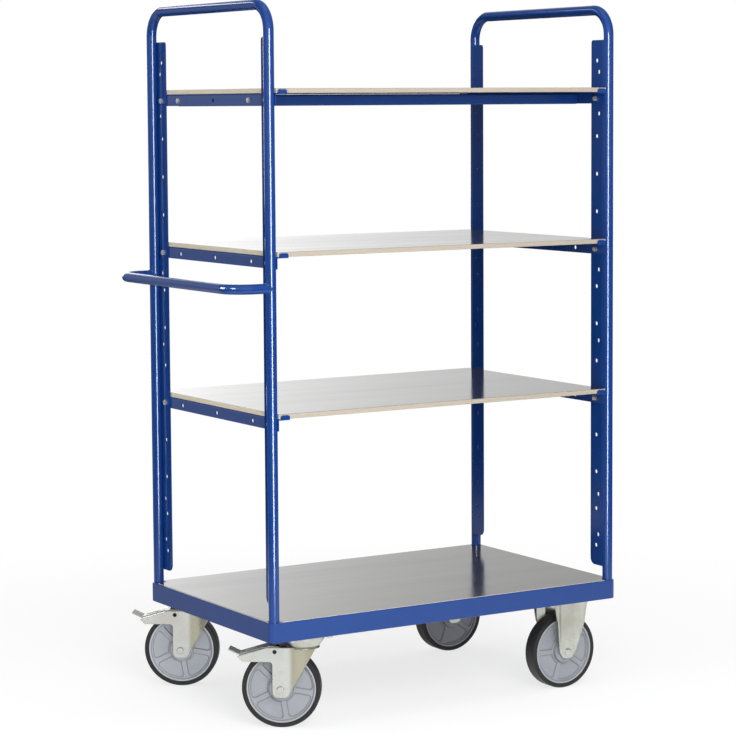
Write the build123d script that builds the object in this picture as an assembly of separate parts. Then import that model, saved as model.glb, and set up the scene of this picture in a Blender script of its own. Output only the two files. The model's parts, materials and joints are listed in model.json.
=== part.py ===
from build123d import *
import os
from math import atan2, cos, radians, sin, sqrt, tan

# Shelf trolley: a deck on two swivel and two fixed castors, a U-shaped tube frame at each end,
# perforated strips welded to the uprights, three boards on bolted angle brackets and a push handle.
# Millimetres. X runs from the handle end to the far end, Y from front to rear, Z up from the floor.

# Tube frame
TUBE = 26.9
TUBE_WALL = 2.0
SPAN_X = 1030.0
SPAN_Y = 630.0
TOP_TUBE_Z = 1808.0
TOP_BEND = 65.0

# Push handle
HANDLE_TUBE = 25.0
HANDLE_Z = 1115.0
HANDLE_REACH = 105.0
HANDLE_BEND = 60.0

# Deck
DECK_BOTTOM_Z = 235.0
DECK_TOP_Z = 285.0
RIM_OVERHANG = 17.5
RIM_WALL = 4.0
RIM_EDGE = 1.5
LEDGE_WIDTH = 30.0
LEDGE_THICK = 4.0
WELD_SINK = 0.5
INNER_CORNER = 0.5
DECK_BOARD_THICK = 15.0
DECK_BOARD_RISE = 1.0
DECK_BOARD_PLAY = 1.0
BOARD_EASE = 0.7
NOTCH_REACH = 16.5
NOTCH_ROUND = 4.0
SEAT_SIDE = 45.0
SEAT_THICK = 4.0
CARRIER_WIDTH = 156.0
CARRIER_WALL = 4.0
CROSSBEAM_WIDTH = 50.0
CROSSBEAM_HEIGHT = 30.0
CROSSBEAM_WALL = 3.0

# Perforated strips
STRIP_OUTER = 10.5
STRIP_THICK = 3.0
STRIP_FREE_EDGE = 57.0
STRIP_TOP_ROUND = 8.0
STRIP_FOOT_ROUND = 18.0
STRIP_LENGTH = 1408.0
HOLE_PITCH = 100.0
HOLE_COUNT = 14
HOLE_DIAMETER = 11.0
HOLE_COLUMN = 33.0
FIRST_HOLE_Z = 1675.0
SLOT_COLUMN = 24.0
SLOT_WIDTH = 9.5
SLOT_LENGTH = 11.5
SLOT_DROPS = (30.0, 140.0, 555.0)

# Shelves
SHELF_HOLES = {"top": 1, "middle": 5, "lower": 9}
SHELF_LENGTH = 1000.0
SHELF_WIDTH = 650.0
SHELF_THICK = 12.0
SHELF_CORNER = 2.0
ANGLE_LEG = 30.0
ANGLE_THICK = 3.0
ANGLE_BEND = 1.5
ANGLE_TOP_ABOVE_BOLT = 16.5
LEG_HALF_LENGTH = 321.0
TAB_HEIGHT = 9.5
TAB_ROUND = 6.0
TAB_BEND = 2.5
BRACKET_HOLE_Y = 190.0
RAIL_WIDTH = 20.0
RAIL_HEIGHT = 28.0
RAIL_WALL = 2.0
RAIL_PLUG = 8.0

# Fasteners: across flats, head height, nut height, shank, shank past the nut
M8 = {"flats": 13.0, "head": 5.3, "nut": 6.5, "shank": 8.0, "past": 3.0}
M10 = {"flats": 16.0, "head": 6.4, "nut": 8.0, "shank": 10.0, "past": 2.0}
THREAD_PLAY = 0.05

# Castors: shared
WHEEL_RADIUS = 100.0
TYRE_WIDTH = 42.0
TYRE_SHOULDER = 6.0
TYRE_FLANK_DRAFT = 1.0
RIM_RADIUS = 89.5
RIM_SEAT = 87.0
RIM_HALF_WIDTH = 19.0
RIM_LIP = 3.0
LIP_ROUND = 1.5
PANEL_RADIUS = 82.0
PANEL_HALF = 9.5
PANEL_MARGIN = 3.0
PANEL_ROUND = 8.0
CORE_DRAFT = 2.0
RIB_HALF = 13.5
RIB_COUNT = 5
RIB_WIDTH = 12.0
HUB_RADIUS = 30.0
HUB_COLLAR = 6.0
HUB_ROUND = 2.0
HUB_HALF = 24.0
HUB_NOSE_RADIUS = 19.0
HUB_NOSE_HALF = 32.5
BEARING_RADIUS = 13.5
SLEEVE_RADIUS = 10.0
AXLE_SHANK = 12.0
AXLE_FLATS = 19.0
AXLE_HEAD = 5.0
AXLE_HEAD_RADIUS = 10.0
AXLE_HEAD_ROUND = 3.0
AXLE_NUT = 7.0
AXLE_PAST = 2.0
RUNNING = 0.05
PLATE_X = 140.0
PLATE_Y = 110.0
PLATE_THICK = 5.5
PLATE_ROUND = 10.0
PLATE_HOLES = (105.0, 80.0)
PLATE_HOLE = 11.0
CASTOR_INSET_Y = 42.0
FORK_OUTER = 37.0
FORK_WALL = 3.5
FORK_EDGE = 1.0

# Swivel castors
SWIVEL_INSET_X = 107.5
SWIVEL_YAW = 144.0
SWIVEL_RIB_TURN = 27.0
TRAIL = 55.0
DISH_RADIUS = 42.0
DISH_DEPTH = 25.0
DISH_WALL = 3.5
DISH_WIDE = 54.0
DISH_SHOULDER_Z = 226.0
DISH_ROUND = 7.0
DISH_LIP_ROUND = 1.2
BALL = 7.0
BALL_RING = 32.0
BALL_COUNT = 14
BALL_PLAY = 0.12
BALL_Z = 219.8
BEAD_HALF = 3.8
BEAD_SLOPE = 1.0
CROWN_TOP_Z = 212.0
CROWN_THICK = 4.0
CROWN_FLAT = 36.0
CROWN_RADIUS = 41.5
CROWN_SHOULDER_Z = 205.0
CROWN_EDGE_Z = 203.5
CROWN_UNDER_FLAT = 33.0
CROWN_ROUND = 2.0
KING_PIN = 16.0
KING_HEAD = 28.0
KING_HEAD_THICK = 4.5
FLANK_BEND = 110.0
FLANK_START = 32.0
FLANK_TURN = 38.0
LEG_FOOT_Z = 80.0
LEG_FOOT_FRONT = 38.5
LEG_FOOT_ROUND = 13.0
LEG_BEHIND_AXLE = 20.0
LEG_SHOULDER = (-17.0, 175.0)
LEG_TOP_FRONT = (-32.0, 201.0)
WING_BOTTOM_Z = 171.0
WING_HEEL_X = 151.0
WING_TIP = (163.5, 183.0)
WING_ROOT_ROUND = 8.0
WING_TOP_START = (88.0, 207.5)
WING_SLOPE = 0.3
WING_FLANGE_X = (98.0, 159.0)
WING_FLANGE_DEPTH = 12.0
WING_FLANGE_THICK = 3.0

# Brake
PIVOT = (69.0, 197.0)
PIVOT_DIAMETER = 12.0
PIVOT_BORE = 9.5
PEDAL_TRAVEL = 7.0
PEDAL_GAP = 0.5
EAR_OUTER = 32.8
EAR_WALL = 3.0
EAR_X = (84.0, 96.0)
EAR_BOTTOM_Z = 199.0
BRIDGE_THICK = 3.0
ARM_X = (92.0, 161.0)
ARM_TOP_Z = 208.5
ARM_SLOPE = 0.297
ARM_HALF = 19.0
ARM_WALL = 2.5
ARM_DEPTH = 8.5
ARM_SLOT = (34.0, 14.0)
ARM_SLOT_X = 134.0
TREAD_END_X = 187.5
TREAD_HALF = 21.0
TREAD_RISE = 25.0
TREAD_THICK = 3.0
TREAD_RIB_COUNT = 5
TREAD_RIB_PITCH = 5.0
TREAD_RIB_HALF = 0.6
SHOE_X = (104.0, 126.0)
SHOE_BOTTOM_Z = (186.0, 178.0)
SHOE_HALF = 13.0
RIVET_END_PLAY = 0.6

# Fixed castors
FIXED_INSET_X = 127.0
FIXED_RIB_TURN = 36.0
WEB_HALF = 22.0
FLARE = (17.5, 16.0)
FLARE_FOOT_Z = 102.0
FLARE_FOOT_SHARE = 0.03
FLARE_FULL_Z = 180.0
FLARE_BEND = 3.0
EDGE_LIP = 3.5
HEAD_LIP = 13.0
TOE_Z = 83.5
TOE_HALF = 14.0
TOE_ROUND = 13.0
TOE_SINK = 1.0

# Derived places
TUBE_RADIUS = TUBE / 2
DECK_X = SPAN_X + 2 * RIM_OVERHANG
DECK_Y = SPAN_Y + 2 * RIM_OVERHANG
DECK_BOARD_TOP = DECK_TOP_Z + DECK_BOARD_RISE
LEDGE_TOP = DECK_BOARD_TOP - DECK_BOARD_THICK
LEDGE_BOTTOM = LEDGE_TOP - LEDGE_THICK
SEAT_TOP = DECK_BOTTOM_Z + SEAT_THICK
STRIP_INNER = STRIP_OUTER + STRIP_THICK
STRIP_TUBE_EDGE = sqrt(TUBE_RADIUS**2 - STRIP_OUTER**2)
STRIP_TOP_Z = FIRST_HOLE_Z + (STRIP_LENGTH - HOLE_PITCH * (HOLE_COUNT - 1)) / 2
BRACKET_INNER = STRIP_INNER + ANGLE_THICK
BRACKET_HALF_Y = SPAN_Y / 2 + TUBE_RADIUS
PLATE_BOTTOM_Z = DECK_BOTTOM_Z
PLATE_TOP_Z = PLATE_BOTTOM_Z + PLATE_THICK
FORK_INNER = FORK_OUTER - FORK_WALL
SHELF_BOLT_Z = {name: FIRST_HOLE_Z - HOLE_PITCH * hole for name, hole in SHELF_HOLES.items()}
ENDS = {"handle": -1, "far": 1}
SIDES = {"front": -1, "rear": 1}


def block(x0, x1, y0, y1, z0, z1):
    """Box between two corners."""
    centre = Pos((x0 + x1) / 2, (y0 + y1) / 2, (z0 + z1) / 2)
    return centre * Box(abs(x1 - x0), abs(y1 - y0), abs(z1 - z0))


def side_prism(points, y0, y1):
    """Outline in X and Z, carried from y0 to y1."""
    outline = Polyline(*[(x, y0, z) for x, z in points], close=True)
    return extrude(make_face(outline), amount=y1 - y0, dir=(0, 1, 0))


def eased(points, rounds=()):
    """Flat outline through points, with the named corners rounded, each to its own radius."""
    sheet = make_face(Polyline(*points, close=True))
    for corner, radius in rounds:
        sheet = fillet(sheet.vertices().sort_by_distance(corner)[0], radius)
    return sheet


def turned(points, rounds=()):
    """Profile of radius and height, turned about the Z axis."""
    return revolve(Plane.XZ * eased(points, rounds), axis=Axis.Z)


def turned_across(points, rounds=()):
    """Profile of radius and width, turned about the Y axis."""
    return revolve(eased(points, rounds), axis=Axis.Y)


def rod(start, direction, radius, length):
    """Round bar from a point along a direction."""
    return extrude(Plane(origin=start, z_dir=direction) * Circle(radius), amount=length)


def bent_tube(points, bend, diameter, wall):
    """Hollow tube along straight runs joined by bends."""
    path = FilletPolyline(*points, radius=bend)
    start = Plane(origin=path @ 0, z_dir=path % 0)
    outside = sweep(start * Circle(diameter / 2), path=path)
    inside = sweep(start * Circle(diameter / 2 - wall), path=path)
    return outside - inside


def hex_bolt(seat, direction, size, length):
    """Hexagon bolt whose head sits on a face and whose shank runs along a direction."""
    plane = Plane(origin=seat, z_dir=direction)
    hexagon = RegularPolygon(size["flats"] / 2, 6, major_radius=False)
    head = extrude(plane * hexagon, amount=-size["head"])
    return head + extrude(plane * Circle(size["shank"] / 2), amount=length)


def hex_nut(seat, direction, size):
    """Hexagon nut that stands on a face."""
    plane = Plane(origin=seat, z_dir=direction)
    hexagon = RegularPolygon(size["flats"] / 2, 6, major_radius=False)
    hole = Circle(size["shank"] / 2 + THREAD_PLAY)
    return extrude(plane * (hexagon - hole), amount=size["nut"])


# Deck

def upright_places():
    """Centres of the four uprights."""
    return [(x * SPAN_X / 2, y * SPAN_Y / 2) for x in (-1, 1) for y in (-1, 1)]


def deck_frame():
    """Rim with rounded corners, an inner ledge for the board and a seat under each upright."""
    def ring(inset, width, z0, z1):
        corner = max(RIM_OVERHANG - inset, INNER_CORNER)
        outer = RectangleRounded(DECK_X - 2 * inset, DECK_Y - 2 * inset, corner)
        hole_inset = inset + width
        hole_corner = max(RIM_OVERHANG - hole_inset, INNER_CORNER)
        hole = RectangleRounded(DECK_X - 2 * hole_inset, DECK_Y - 2 * hole_inset, hole_corner)
        return extrude(Plane.XY.offset(z0) * (outer - hole), amount=z1 - z0)

    rim = ring(0, RIM_WALL, DECK_BOTTOM_Z, DECK_TOP_Z)
    brims = [face.outer_wire().edges() for face in rim.faces().filter_by(Plane.XY)]
    rim = fillet([edge for brim in brims for edge in brim], RIM_EDGE)
    ledge = ring(RIM_WALL - WELD_SINK, LEDGE_WIDTH + WELD_SINK, LEDGE_BOTTOM, LEDGE_TOP)
    frame = rim + ledge
    for x, y in upright_places():
        frame -= rod((x, y, SEAT_TOP), (0, 0, 1), TUBE_RADIUS, DECK_TOP_Z - SEAT_TOP)
    seat = RectangleRounded(DECK_X - RIM_WALL, DECK_Y - RIM_WALL, RIM_OVERHANG - RIM_WALL / 2)
    seats = extrude(Plane.XY.offset(DECK_BOTTOM_Z) * seat, amount=SEAT_THICK)
    free_x = DECK_X / 2 - SEAT_SIDE
    free_y = DECK_Y / 2 - SEAT_SIDE
    seats -= block(-DECK_X, DECK_X, -free_y, free_y, DECK_BOTTOM_Z, SEAT_TOP)
    seats -= block(-free_x, free_x, -DECK_Y, DECK_Y, DECK_BOTTOM_Z, SEAT_TOP)
    return frame + seats


def deck_board():
    """Board let into the rim, with a notch round each upright."""
    inset = RIM_WALL + DECK_BOARD_PLAY
    length = DECK_X - 2 * inset
    width = DECK_Y - 2 * inset
    sheet = Rectangle(length, width)
    for x, y in upright_places():
        reach_x = NOTCH_REACH + length / 2 - abs(x)
        reach_y = NOTCH_REACH + width / 2 - abs(y)
        notch = RectangleRounded(2 * reach_x, 2 * reach_y, NOTCH_ROUND)
        sheet -= Pos(length / 2 * (1 if x > 0 else -1), width / 2 * (1 if y > 0 else -1)) * notch
    board = extrude(Plane.XY.offset(LEDGE_TOP) * sheet, amount=DECK_BOARD_THICK)
    return chamfer(board.faces().sort_by(Axis.Z)[-1].edges(), BOARD_EASE)


def castor_holes(x):
    """Places of the plate bolts of the two castors at one end."""
    places = []
    for side in SIDES.values():
        for along in (-1, 1):
            for across in (-1, 1):
                hole_x = x + along * PLATE_HOLES[0] / 2
                hole_y = side * (SPAN_Y / 2 - CASTOR_INSET_Y) + across * PLATE_HOLES[1] / 2
                places.append((hole_x, hole_y))
    return places


def castor_carrier(x):
    """Channel across the deck, open upwards, whose web carries the castor plates."""
    half = CARRIER_WIDTH / 2
    reach = DECK_Y / 2 - RIM_WALL
    channel = block(x - half, x + half, -reach, reach, PLATE_TOP_Z, LEDGE_BOTTOM)
    channel -= block(x - half + CARRIER_WALL, x + half - CARRIER_WALL, -reach, reach,
                     PLATE_TOP_Z + CARRIER_WALL, LEDGE_BOTTOM)
    for hole_x, hole_y in castor_holes(x):
        channel -= rod((hole_x, hole_y, PLATE_TOP_Z), (0, 0, 1), PLATE_HOLE / 2, CARRIER_WALL)
    return channel


def deck_crossbeam():
    """Channel across the middle, open downwards, under the board."""
    half = CROSSBEAM_WIDTH / 2
    reach = DECK_Y / 2 - RIM_WALL - LEDGE_WIDTH
    bottom = LEDGE_TOP - CROSSBEAM_HEIGHT
    beam = block(-half, half, -reach, reach, bottom, LEDGE_TOP)
    return beam - block(-half + CROSSBEAM_WALL, half - CROSSBEAM_WALL, -reach, reach,
                        bottom, LEDGE_TOP - CROSSBEAM_WALL)


# Uprights

def end_frame(end):
    """U of tube that stands on the seats of one end."""
    x = end * SPAN_X / 2
    y = SPAN_Y / 2
    points = [(x, -y, SEAT_TOP), (x, -y, TOP_TUBE_Z), (x, y, TOP_TUBE_Z), (x, y, SEAT_TOP)]
    return bent_tube(points, TOP_BEND, TUBE, TUBE_WALL)


def push_handle():
    """Bent tube whose coped ends meet the uprights of the handle end."""
    x = -SPAN_X / 2
    y = SPAN_Y / 2
    out = x - HANDLE_REACH
    points = [(x, -y, HANDLE_Z), (out, -y, HANDLE_Z), (out, y, HANDLE_Z), (x, y, HANDLE_Z)]
    handle = bent_tube(points, HANDLE_BEND, HANDLE_TUBE, TUBE_WALL)
    for side in SIDES.values():
        handle -= rod((x, side * y, HANDLE_Z - TUBE), (0, 0, 1), TUBE_RADIUS, 2 * TUBE)
    return handle


def strip(end, side):
    """Perforated strip on the inner side of an upright, with round holes and short slots beside them."""
    def across(distance):
        return side * (SPAN_Y / 2 - distance)

    x = end * (SPAN_X / 2 - STRIP_OUTER)
    plane = Plane(origin=(x, 0, 0), x_dir=(0, 1, 0), z_dir=(-end, 0, 0))
    up = plane.to_local_coords(Vector(x, 0, 1)).Y
    free = across(STRIP_FREE_EDGE)
    welded = across(STRIP_TUBE_EDGE)
    top = up * STRIP_TOP_Z
    foot = up * (STRIP_TOP_Z - STRIP_LENGTH)
    sheet = eased([(welded, foot), (free, foot), (free, top), (welded, top)],
                  [((free, foot), STRIP_FOOT_ROUND), ((free, top), STRIP_TOP_ROUND)])
    plate = extrude(plane * sheet, amount=STRIP_THICK, dir=plane.z_dir)
    holes = Sketch()
    for number in range(HOLE_COUNT):
        z = FIRST_HOLE_Z - number * HOLE_PITCH
        holes += Pos(across(HOLE_COLUMN), up * z) * Circle(HOLE_DIAMETER / 2)
    last_drop = HOLE_PITCH * (HOLE_COUNT - 1)
    for drop in SLOT_DROPS + tuple(last_drop - drop for drop in SLOT_DROPS):
        place = Pos(across(SLOT_COLUMN), up * (FIRST_HOLE_Z - drop))
        holes += place * SlotOverall(SLOT_LENGTH, SLOT_WIDTH, rotation=90)
    return plate - extrude(plane * holes, amount=STRIP_THICK)


# Shelves

def shelf_board(bolt_z):
    """Board that lies on the brackets, between their tabs."""
    bottom = bolt_z + ANGLE_TOP_ABOVE_BOLT
    x = SHELF_LENGTH / 2
    y = SHELF_WIDTH / 2
    board = block(-x, x, -y, y, bottom, bottom + SHELF_THICK)
    board = fillet(board.edges().filter_by(Axis.Z), SHELF_CORNER)
    return chamfer(board.faces().filter_by(Plane.XY).edges(), BOARD_EASE)


def shelf_bracket(end, bolt_z):
    """Folded angle with its flange under the board and a tab turned up at each end of the flange."""
    top = bolt_z + ANGLE_TOP_ABOVE_BOLT
    x_leg = end * (SPAN_X / 2 - STRIP_INNER)
    x_inner = end * (SPAN_X / 2 - BRACKET_INNER)
    x_flange = end * (SPAN_X / 2 - STRIP_INNER - ANGLE_LEG)
    section = eased([
        (0, 0), (ANGLE_LEG, 0), (ANGLE_LEG, -ANGLE_THICK), (ANGLE_THICK, -ANGLE_THICK),
        (ANGLE_THICK, -ANGLE_LEG), (0, -ANGLE_LEG),
    ], [((0, 0), ANGLE_BEND + ANGLE_THICK), ((ANGLE_THICK, -ANGLE_THICK), ANGLE_BEND)])
    start = Plane(origin=(x_leg, -end * LEG_HALF_LENGTH, top), x_dir=(-end, 0, 0), z_dir=(0, end, 0))
    bracket = extrude(start * section, amount=2 * LEG_HALF_LENGTH)
    flange_end = BRACKET_HALF_Y - ANGLE_THICK
    x_bend = x_inner - end * ANGLE_BEND
    bracket += block(x_bend, x_flange, -flange_end, flange_end, top - ANGLE_THICK, top)
    for side in SIDES.values():
        y_in = side * flange_end
        y_out = side * BRACKET_HALF_Y
        tab = block(x_bend, x_flange, y_in, y_out, top - ANGLE_THICK, top + TAB_HEIGHT)
        upper = tab.edges().filter_by(Axis.Y).sort_by(Axis.Z)[-2:]
        tab = fillet(upper, TAB_ROUND)
        fold = tab.edges().filter_by(Axis.X).sort_by_distance((x_bend, y_out, top - ANGLE_THICK))[0]
        bracket += fillet(fold, TAB_BEND)
    bolt_y = SPAN_Y / 2 - HOLE_COLUMN
    for y in (-bolt_y, -BRACKET_HOLE_Y, 0, BRACKET_HOLE_Y, bolt_y):
        bracket -= rod((x_leg, y, bolt_z), (-end, 0, 0), HOLE_DIAMETER / 2, ANGLE_THICK)
    return bracket


def top_rail(side):
    """Rectangular tube between the top brackets, with a threaded plug in each end."""
    half = SPAN_X / 2 - BRACKET_INNER
    bolt_z = SHELF_BOLT_Z["top"]
    top = bolt_z + ANGLE_TOP_ABOVE_BOLT - ANGLE_THICK
    middle_z = top - RAIL_HEIGHT / 2
    y = side * BRACKET_HOLE_Y
    section = Plane(origin=(-half, y, middle_z), x_dir=(0, 1, 0), z_dir=(1, 0, 0))
    outside = RectangleRounded(RAIL_WIDTH, RAIL_HEIGHT, 2 * RAIL_WALL)
    inside = RectangleRounded(RAIL_WIDTH - 2 * RAIL_WALL, RAIL_HEIGHT - 2 * RAIL_WALL, RAIL_WALL)
    rail = extrude(section * outside, amount=2 * half)
    bore = Plane(origin=(-half + RAIL_PLUG, y, middle_z), x_dir=(0, 1, 0), z_dir=(1, 0, 0))
    rail -= extrude(bore * inside, amount=2 * (half - RAIL_PLUG))
    ends = [face.outer_wire().edges() for face in rail.faces().filter_by(Axis.X)]
    outer_ends = [edge for end in ends for edge in end if abs(abs(edge.center().X) - half) < RAIL_WALL]
    rail = chamfer(outer_ends, ANGLE_BEND)
    thread = M8["shank"] / 2 + THREAD_PLAY
    return rail - rod((-half, y, bolt_z), (1, 0, 0), thread, 2 * half)


def shelf_fasteners():
    """Bolts through strip and bracket with their nuts, and the bolts into the rails."""
    bolts = []
    nuts = []
    rails = []
    bolt_y = SPAN_Y / 2 - HOLE_COLUMN
    stack = STRIP_THICK + ANGLE_THICK
    for end in ENDS.values():
        inward = (-end, 0, 0)
        for side in SIDES.values():
            for z in SHELF_BOLT_Z.values():
                seat = (end * (SPAN_X / 2 - STRIP_OUTER), side * bolt_y, z)
                bolts.append(hex_bolt(seat, inward, M8, stack + M8["nut"] + M8["past"]))
                back = (end * (SPAN_X / 2 - BRACKET_INNER), side * bolt_y, z)
                nuts.append(hex_nut(back, inward, M8))
            seat = (end * (SPAN_X / 2 - STRIP_INNER), side * BRACKET_HOLE_Y, SHELF_BOLT_Z["top"])
            rails.append(hex_bolt(seat, inward, M8, ANGLE_THICK + RAIL_PLUG))
    return Compound(children=bolts), Compound(children=nuts), Compound(children=rails)


# Castor pieces, each made with the swivel axis at the origin, the trail along +X and the axle along Y

def castor_plate():
    """Rounded plate with its four bolt holes."""
    sheet = RectangleRounded(PLATE_X, PLATE_Y, PLATE_ROUND)
    sheet -= GridLocations(PLATE_HOLES[0], PLATE_HOLES[1], 2, 2) * Circle(PLATE_HOLE / 2)
    return extrude(Plane.XY.offset(PLATE_BOTTOM_Z) * sheet, amount=PLATE_THICK)


def swivel_plate():
    """Plate with the pressed dish that covers the ball ring, and the upper ball groove."""
    lip = PLATE_BOTTOM_Z - DISH_DEPTH
    race = BALL_Z + BALL / 4
    inner = DISH_RADIUS - DISH_WALL
    dish = turned([
        (KING_PIN / 2, PLATE_TOP_Z), (DISH_WIDE, PLATE_TOP_Z), (DISH_WIDE, DISH_SHOULDER_Z),
        (DISH_RADIUS, lip), (inner, lip), (inner, race), (KING_PIN / 2, race),
    ], [((DISH_WIDE, DISH_SHOULDER_Z), DISH_ROUND), ((DISH_RADIUS, lip), DISH_LIP_ROUND)])
    pin_hole = rod((0, 0, lip), (0, 0, 1), KING_PIN / 2, PLATE_TOP_Z - lip)
    return castor_plate() + dish - Pos(0, 0, BALL_Z) * Torus(BALL_RING, BALL / 2) - pin_hole


def king_pin():
    """Riveted pin, its lower head under the fork's crown."""
    head_top = CROWN_TOP_Z - CROWN_THICK - 2 * BALL_PLAY
    head_bottom = head_top - KING_HEAD_THICK
    shank = rod((0, 0, head_top), (0, 0, 1), KING_PIN / 2, PLATE_TOP_Z - head_top)
    head = turned([
        (0, head_top), (KING_HEAD / 2, head_top), (KING_HEAD / 2, head_top - KING_HEAD_THICK / 2),
        (KING_HEAD / 2 - KING_HEAD_THICK / 2, head_bottom), (0, head_bottom),
    ])
    return shank + head


def swivel_balls():
    """Ring of balls between plate and crown."""
    ring = Pos(0, 0, BALL_Z) * PolarLocations(BALL_RING, BALL_COUNT)
    return Compound(children=[place * Sphere(BALL / 2) for place in ring])


def wing_top(x):
    """Height of the brake wing's sloping upper edge."""
    return WING_TOP_START[1] - (x - WING_TOP_START[0]) * WING_SLOPE


def fork_crown():
    """Domed crown with the lower ball groove, most of it up inside the plate's dish."""
    bore = KING_PIN / 2 + RUNNING
    under = CROWN_TOP_Z - CROWN_THICK
    dome = turned([
        (bore, CROWN_TOP_Z), (CROWN_FLAT, CROWN_TOP_Z), (CROWN_RADIUS, CROWN_SHOULDER_Z),
        (CROWN_RADIUS, CROWN_EDGE_Z), (CROWN_RADIUS - CROWN_THICK, CROWN_EDGE_Z),
        (CROWN_UNDER_FLAT, under), (bore, under),
    ], [((CROWN_RADIUS, CROWN_SHOULDER_Z), CROWN_ROUND)])
    bead_top = BALL_Z - BALL / 4
    bead_foot = CROWN_TOP_Z - BEAD_SLOPE
    bead = turned([
        (BALL_RING - BEAD_HALF - BEAD_SLOPE, bead_foot), (BALL_RING - BEAD_HALF, bead_top),
        (BALL_RING + BEAD_HALF, bead_top), (BALL_RING + BEAD_HALF + BEAD_SLOPE, bead_foot),
    ])
    return dome + bead - Pos(0, 0, BALL_Z) * Torus(BALL_RING, BALL / 2 + BALL_PLAY)


def fork_silhouette():
    """Side view of a leg: a foot round the axle, a slanting front edge and the brake wing behind."""
    back = TRAIL + LEG_BEHIND_AXLE
    sheet = make_face(Polyline(
        (back, LEG_FOOT_Z), (back, WING_BOTTOM_Z), (WING_HEEL_X, WING_BOTTOM_Z), WING_TIP,
        (WING_TIP[0] - 1, wing_top(WING_TIP[0])), WING_TOP_START, (LEG_TOP_FRONT[0], WING_TOP_START[1]),
        LEG_TOP_FRONT, LEG_SHOULDER, (LEG_FOOT_FRONT, LEG_FOOT_Z), close=True,
    ))
    foot_corners = [corner for corner in sheet.vertices() if corner.Y < LEG_FOOT_Z + 1]
    sheet = fillet(foot_corners, LEG_FOOT_ROUND)
    wing_root = [corner for corner in sheet.vertices()
                 if abs(corner.X - back) < 0.1 and abs(corner.Y - WING_BOTTOM_Z) < 0.1]
    return fillet(wing_root, WING_ROOT_ROUND)


def fork_flank():
    """Plan view of a leg: straight behind, curving in towards the front."""
    def points(offset):
        bend = FLANK_BEND + offset - FORK_OUTER
        places = []
        for turn in (FLANK_TURN / 2, FLANK_TURN):
            drop = bend * (1 - cos(radians(turn)))
            places.append((FLANK_START - bend * sin(radians(turn)), offset - drop))
        return places

    outer_middle, outer_front = points(FORK_OUTER)
    inner_middle, inner_front = points(FORK_INNER)
    behind = WING_TIP[0] + 5
    return make_face(Curve() + [
        Line((behind, FORK_OUTER), (FLANK_START, FORK_OUTER)),
        ThreePointArc((FLANK_START, FORK_OUTER), outer_middle, outer_front),
        Line(outer_front, inner_front),
        ThreePointArc(inner_front, inner_middle, (FLANK_START, FORK_INNER)),
        Line((FLANK_START, FORK_INNER), (behind, FORK_INNER)),
        Line((behind, FORK_INNER), (behind, FORK_OUTER)),
    ])


def swivel_fork():
    """Pressed fork: crown, two legs that curve in at the front, and a flanged brake wing behind each leg."""
    silhouette = extrude(Plane.XZ.offset(-2 * FORK_OUTER) * fork_silhouette(), amount=4 * FORK_OUTER)
    flank = extrude(Plane.XY * fork_flank(), amount=CROWN_TOP_Z)
    leg = fillet((flank & silhouette).edges(), FORK_EDGE)
    near, far = WING_FLANGE_X
    leg += side_prism(
        [(near, wing_top(near)), (far, wing_top(far)), (far, wing_top(far) - WING_FLANGE_THICK),
         (near, wing_top(near) - WING_FLANGE_THICK)],
        FORK_INNER - WING_FLANGE_DEPTH, FORK_INNER + FORK_EDGE,
    )
    for x, z, diameter in ((TRAIL, WHEEL_RADIUS, AXLE_SHANK), (*PIVOT, PIVOT_DIAMETER)):
        leg -= rod((x, 0, z), (0, 1, 0), diameter / 2, 2 * FORK_OUTER)
    return fork_crown() + leg + mirror(leg, about=Plane.XZ)


def axle(x, side):
    """Bolt with its spacer sleeve between the legs, a low domed head on one side and a nut on the other."""
    head_seat = (x, side * FORK_OUTER, WHEEL_RADIUS)
    nut_seat = (x, -side * FORK_OUTER, WHEEL_RADIUS)
    inward = (0, -side, 0)
    bolt = rod(head_seat, inward, AXLE_SHANK / 2, 2 * FORK_OUTER + AXLE_NUT + AXLE_PAST)
    bolt += rod((x, -FORK_INNER, WHEEL_RADIUS), (0, 1, 0), SLEEVE_RADIUS, 2 * FORK_INNER)
    head = rod(head_seat, (0, side, 0), AXLE_HEAD_RADIUS, AXLE_HEAD)
    outer_edge = head.edges().filter_by(GeomType.CIRCLE).sort_by(Axis.Y)[-1 if side > 0 else 0]
    bolt += fillet(outer_edge, AXLE_HEAD_ROUND)
    hexagon = RegularPolygon(AXLE_FLATS / 2, 6, major_radius=False)
    return bolt + extrude(Plane(origin=nut_seat, z_dir=inward) * hexagon, amount=AXLE_NUT)


def both_sides(half):
    """Closed profile of radius and width from one half of it."""
    return [(r, -w) for r, w in half] + [(r, w) for r, w in reversed(half)]


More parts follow.
